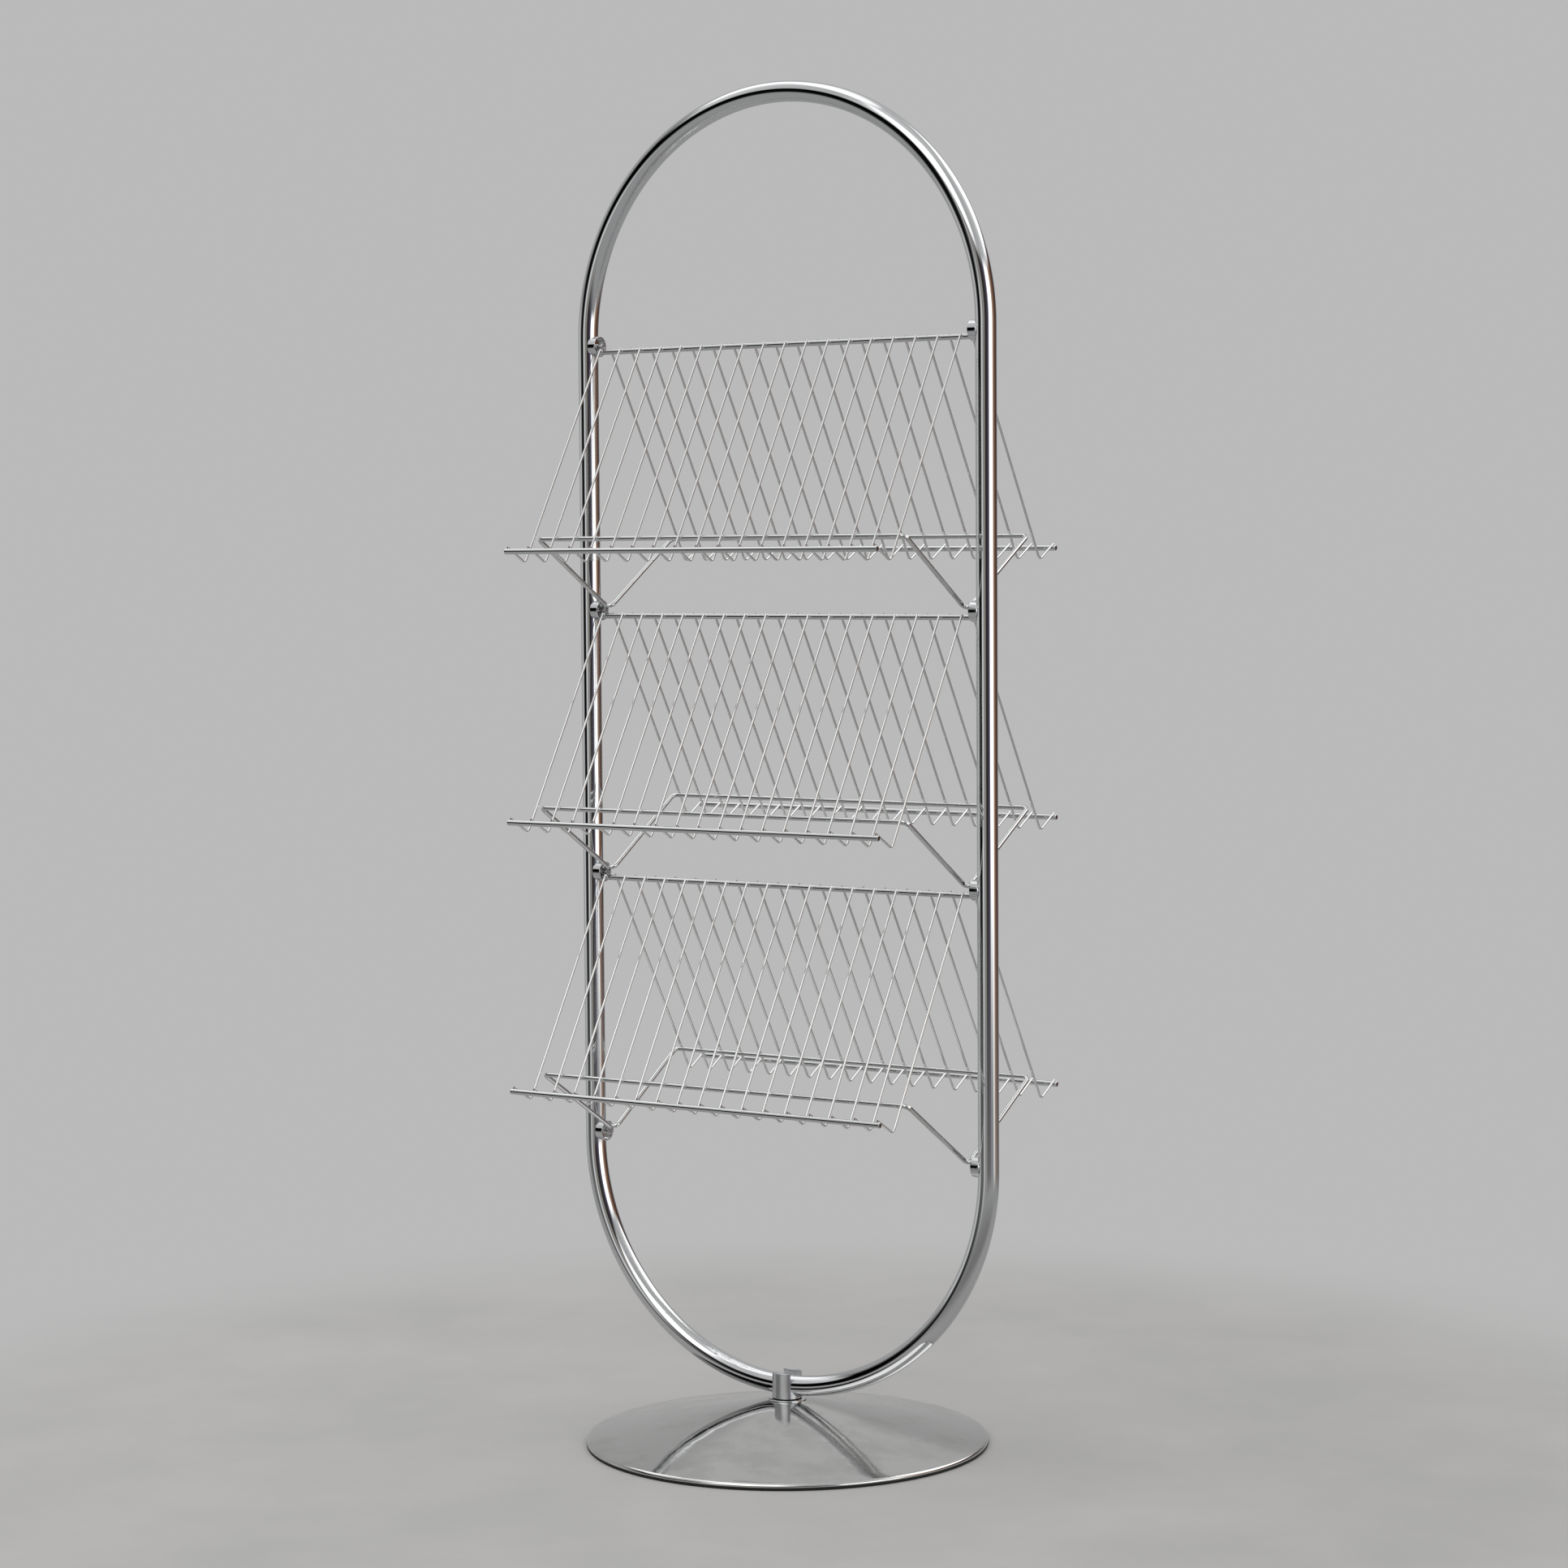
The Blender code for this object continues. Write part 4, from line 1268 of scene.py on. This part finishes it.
# --- studio ---
# What mirrors see, by direction round the camera's own: (degrees to its right, grey) or (degrees, red,
# green, blue). LEVEL is at the height of the eye, UPPER above it and CEILING near the zenith.
LEVEL: Stops = (
    (-180, 0.46), (-121, 0.46), (-112, 0.80), (-104, 0.76), (-97, 0.36), (-88, 0.06), (-82, 0.004),
    (-63, 0.004), (-58, 0.22), (-54, 0.72), (-48, 0.98), (-42, 0.70), (-36, 0.34), (-31, 0.24),
    (-25, 0.46, 0.43, 0.39), (-20, 0.34, 0.32, 0.28), (-14, 0.07, 0.062, 0.052),
    (-5, 0.034, 0.028, 0.028), (4, 0.046, 0.041, 0.050), (14, 0.08, 0.072, 0.100),
    (22, 0.105, 0.097, 0.14), (28, 0.55, 0.53, 0.63), (32, 2.2), (64, 2.2), (68, 1.30, 1.15, 1.00),
    (74, 0.60, 0.42, 0.32), (86, 0.32, 0.18, 0.12), (102, 0.17, 0.088, 0.055),
    (120, 0.075, 0.038, 0.028), (140, 0.14, 0.12, 0.13), (156, 0.38), (180, 0.46),
)
UPPER: Stops = (
    (-180, 0.60), (-165, 0.62), (-152, 1.7), (-125, 1.8), (-108, 1.2), (-94, 0.80), (-62, 0.62),
    (-54, 0.80), (-48, 1.7), (-34, 2.2), (-6, 2.2), (2, 1.1), (10, 0.56), (40, 0.60), (66, 0.75),
    (84, 1.2), (94, 2.2), (134, 2.2), (144, 0.75), (154, 0.56), (180, 0.60),
)
CEILING: Stops = (
    (-180, 1.3), (-150, 1.7), (-60, 1.7), (-40, 0.85), (60, 0.66), (150, 0.66), (180, 1.3),
)
# Shares by the same directions. FLAG is what a black flag on the left leaves of the light above the
# level, BOX_FOOT is what is left under the lower edge of the soft box on the right, and LIFT is how far
# the boundary between LEVEL and UPPER is raised.
FLAG: Stops = (
    (-180, 1.0), (-125, 1.0), (-112, 0.5), (-104, 0.35), (-97, 0.2), (-90, 0.02), (-52, 0.02),
    (-47, 0.46), (-41, 1.0), (180, 1.0),
)
BOX_FOOT: Stops = (
    (-180, 1.0), (22, 1.0), (28, 0.35), (34, 0.12), (50, 0.16), (56, 0.6), (65, 0.6), (70, 1.0),
    (180, 1.0),
)
LIFT: Stops = ((-180, 0.0), (-165, 1.0), (-108, 1.0), (-96, 0.4), (-84, 0.0), (180, 0.0))
# Heights above the level, in degrees, where one part of the surround gives way to the next.
TO_FLAG, TO_BOX_FOOT, FROM_GROUND = (4.0, 9.0), (-3.0, -9.0), (-17.0, -4.0)
TO_UPPER, TO_CEILING = (19.0, 27.0), (55.0, 63.0)


@dataclass(frozen=True)
class Studio:
    """The floor, the world, the lamp and the camera.

    Args:
        azimuth: Angle of the camera round Z, from the front, in degrees.
        elevation: Angle of its view below the level, in degrees.
        roll: Turn about its own axis, in degrees.
        place: Place of the camera.
        lens: Focal length in millimetres on a 36 mm frame.
        backdrop: Colour behind the rack.
        floor_rings: Radii of the floor's rings.
        floor_sides: Sides of the floor.
        fade: Radii where the floor fades into the backdrop.
        opening: Radii where the floor fades out of reflections.
        shade: Distances toward the camera where the floor darkens in reflections.
        shade_depth: How far it darkens.
        gain: Strength of the surround that mirrors see.
        ground: Grey of that surround below the level.
        raised: How far LIFT raises its upper part, in degrees.
        room_light: Strength of the even light of the room.
        lamp_size: Side of the square lamp.
        lamp_watts: Power of the lamp.
        lamp_place: Place of the lamp.
        lamp_tilt: Turns of the lamp about X and Y, in degrees.
    """

    azimuth: float = 33.469
    elevation: float = 3.527
    roll: float = -0.385
    place: tuple[float, float, float] = (2.17652, -3.29052, 0.94724)
    lens: float = 85.784
    backdrop: str = "bababa"
    floor_rings: tuple[float, ...] = (0.3, 0.6, 0.9, 1.2, 1.5, 2.5, 5.2)
    floor_sides: int = 96
    fade: tuple[float, float] = (0.75, 1.25)
    opening: tuple[float, float] = (0.45, 1.3)
    shade: tuple[float, float] = (0.2, 0.5)
    shade_depth: float = 0.45
    gain: float = 2.2
    ground: float = 0.40
    raised: float = 17.0
    room_light: float = 0.78
    lamp_size: float = 2.2
    lamp_watts: float = 18.0
    lamp_place: tuple[float, float, float] = (-0.7, -0.6, 2.9)
    lamp_tilt: tuple[float, float] = (-12.0, -14.0)

    @property
    def forward(self) -> tuple[float, float, float]:
        """Level direction from the rack to the camera."""
        az = math.radians(self.azimuth)
        return math.sin(az), -math.cos(az), 0.0

    @property
    def right(self) -> tuple[float, float, float]:
        """Level direction to the right of the camera."""
        az = math.radians(self.azimuth)
        return math.cos(az), math.sin(az), 0.0

    def camera(self) -> None:
        """Set the camera: back, right and up vectors from its three angles."""
        az, el, roll = (math.radians(value) for value in (self.azimuth, self.elevation, self.roll))
        back = np.array([math.sin(az) * math.cos(el), -math.cos(az) * math.cos(el), math.sin(el)])
        right = np.array(self.right)
        up = np.cross(back, right)
        across = math.cos(roll) * right + math.sin(roll) * up
        upward = -math.sin(roll) * right + math.cos(roll) * up
        data = bpy.data.cameras.new("studio_camera")
        data.lens = self.lens
        data.sensor_width = 36.0
        data.sensor_fit = "HORIZONTAL"
        data.clip_end = 60.0
        data.dof.use_dof = False
        camera = bpy.data.objects.new("studio_camera", data)
        bpy.context.scene.collection.objects.link(camera)
        matrix = np.eye(4)
        matrix[:3] = np.stack([across, upward, back, self.place], -1)
        camera.matrix_world = Matrix(matrix.tolist())
        bpy.context.scene.camera = camera

    def lamp(self) -> None:
        """Hang one large soft lamp above, a little to the left of the camera's side."""
        data = bpy.data.lights.new("soft_lamp", "AREA")
        data.shape = "SQUARE"
        data.size = self.lamp_size
        data.energy = self.lamp_watts
        lamp = bpy.data.objects.new("soft_lamp", data)
        bpy.context.scene.collection.objects.link(lamp)
        lamp.location = self.lamp_place
        lamp.rotation_euler = (*(math.radians(turn) for turn in self.lamp_tilt), 0.0)
        lamp.visible_glossy = False
        lamp.visible_camera = False

    def floor(self) -> None:
        """Lay a round pale floor of flat rings about a fan."""
        rings, sides = np.array(self.floor_rings), self.floor_sides
        angle = np.arange(sides) * TURN / sides
        grid = np.zeros((len(rings), sides, 3))
        grid[..., 0] = rings[:, None] * np.cos(angle)
        grid[..., 1] = rings[:, None] * np.sin(angle)
        number = np.arange(len(rings) * sides).reshape(len(rings), sides)
        near, far = number[:-1], number[1:]
        quads = np.stack([near, far, np.roll(far, -1, 1), np.roll(near, -1, 1)], -1).reshape(-1, 4)
        points = np.vstack([grid.reshape(-1, 3), [0.0, 0.0, 0.0]])
        tris = np.stack([number[0], np.roll(number[0], -1), np.full(sides, len(points) - 1)], -1)
        shell = Shell(points, quads, tris, np.zeros(len(quads) + len(tris), int))
        floor = make_object("floor", shell, [self.floor_material()])

    def floor_material(self) -> bpy.types.Material:
        """Pale ground concrete with wide faint clouds.

        The camera sees it fade into the backdrop. Mirrors see it darker toward the camera, and see
        through it farther out, so that the level part of the surround shows in the uprights.
        """
        made = bpy.data.materials.new("pale_floor")
        made.use_nodes = True
        web = Web(made.node_tree)
        made.node_tree.nodes.clear()
        place = web.add("TexCoord").outputs["Object"]
        ray = web.add("LightPath").outputs
        tones = [(0.3, linear("b3b3b2")), (0.5, linear("b9b8b7")), (0.7, linear("bebdbb"))]
        colour = web.ramp(web.noise(place, 312.5, 8.0, 0.62), tones)
        toward = web.vector("DOT_PRODUCT", place, self.forward)
        shade = web.span(toward, *self.shade, end=self.shade_depth)
        shaded = web.maths("MULTIPLY", shade, ray["Is Glossy Ray"])
        diffuse = web.add("BsdfDiffuse", None, Color=web.mix(shaded, colour, (0.0, 0.0, 0.0, 1.0)))
        glow = web.add("Emission", None, Color=paint(self.backdrop), Strength=1.0)
        away = web.vector("LENGTH", place)
        faded = web.maths("MULTIPLY", web.span(away, *self.fade), ray["Is Camera Ray"])
        opened = web.maths("MULTIPLY", web.span(away, *self.opening), ray["Is Glossy Ray"])
        clear = web.add("BsdfTransparent")
        mixed = web.mix_shaders(opened, web.mix_shaders(faded, diffuse, glow), clear)
        web.add("OutputMaterial", None, Surface=mixed.outputs[0])
        return made

    def world(self) -> None:
        """Light the room evenly, and give mirror-like surfaces a studio to show.

        Mirrors see, round the camera's own direction: the pale backdrop behind the rack, a pale strip,
        a black gap and a pale screen on the left, the dark room behind the camera, a bright soft box on
        the right and a brown corner beyond it. Higher up is a grey wall with three bright windows, then
        a white ceiling, and below the level is the far floor.
        """
        world = bpy.data.worlds.new("studio_world")
        bpy.context.scene.world = world
        world.use_nodes = True
        web = Web(world.node_tree)
        world.node_tree.nodes.clear()
        way = web.add("TexCoord").outputs["Generated"]
        aside = web.vector("DOT_PRODUCT", way, self.right)
        toward = web.vector("DOT_PRODUCT", way, self.forward)
        share = web.span(web.maths("ARCTAN2", aside, toward), -math.pi, math.pi, soft=False)
        rise = web.maths("ARCSINE", web.add("SeparateXYZ", None, Vector=way).outputs["Z"])

        def around(stops: Stops, scale: float = 1.0) -> Any:
            """Return the ramp of a table, with its values divided by a scale."""
            made = []
            for degrees, *parts in stops:
                red, green, blue = (part / scale for part in (parts * 3)[:3])
                made.append(((degrees + 180.0) / 360.0, (red, green, blue)))
            return web.ramp(share, made)

        def between(heights: tuple[float, float], by: Any = rise) -> Any:
            """Return how far a direction's height is from the first of two heights to the second."""
            return web.span(by, *(math.radians(height) for height in heights))

        raised = web.maths("MULTIPLY_ADD", around(LIFT), math.radians(-self.raised), rise)
        mirror = web.mix(between(TO_FLAG), around(LEVEL, self.gain), around(FLAG), "MULTIPLY")
        mirror = web.mix(between(TO_BOX_FOOT), mirror, around(BOX_FOOT), "MULTIPLY")
        mirror = web.mix(between(FROM_GROUND), (*[self.ground / self.gain] * 3, 1.0), mirror)
        mirror = web.mix(between(TO_UPPER, raised), mirror, around(UPPER, self.gain))
        mirror = web.mix(between(TO_CEILING), mirror, around(CEILING, self.gain))
        glossy = web.add("Background", None, Color=mirror, Strength=self.gain)
        soft = web.add("Background", None, Color=(1.0, 1.0, 1.0, 1.0), Strength=self.room_light)
        seen = web.add("Background", None, Color=paint(self.backdrop), Strength=1.0)
        ray = web.add("LightPath").outputs
        first = web.mix_shaders(ray["Is Camera Ray"], soft, seen)
        both = web.mix_shaders(ray["Is Glossy Ray"], first, glossy)
        web.add("OutputWorld", None, Surface=both.outputs[0])

    def build(self) -> None:
        """Make the whole studio."""
        self.camera()
        self.lamp()
        self.floor()
        self.world()
        bpy.context.scene.view_settings.view_transform = "Standard"
        LOG.info("studio ready")


def main() -> None:
    """Build the rack around its frame, and the studio."""
    logging.basicConfig(level=logging.INFO, format="%(name)s: %(message)s")
    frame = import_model()
    Studio().build()
    Hoop().build()
    Cups().build()
    for number in (1, 2, 3):
        Tier(number).build()
    Saddle().build()
    Base().build()
    dress_nodes(
        frame["nodes"],
        {"base_weight": Finish.CAST_IRON, "saddle_screw": Finish.ZINC, "tube_joiner": Finish.ZINC},
    )
    bpy.context.view_layer.update()


if __name__ == "__main__":
    main()
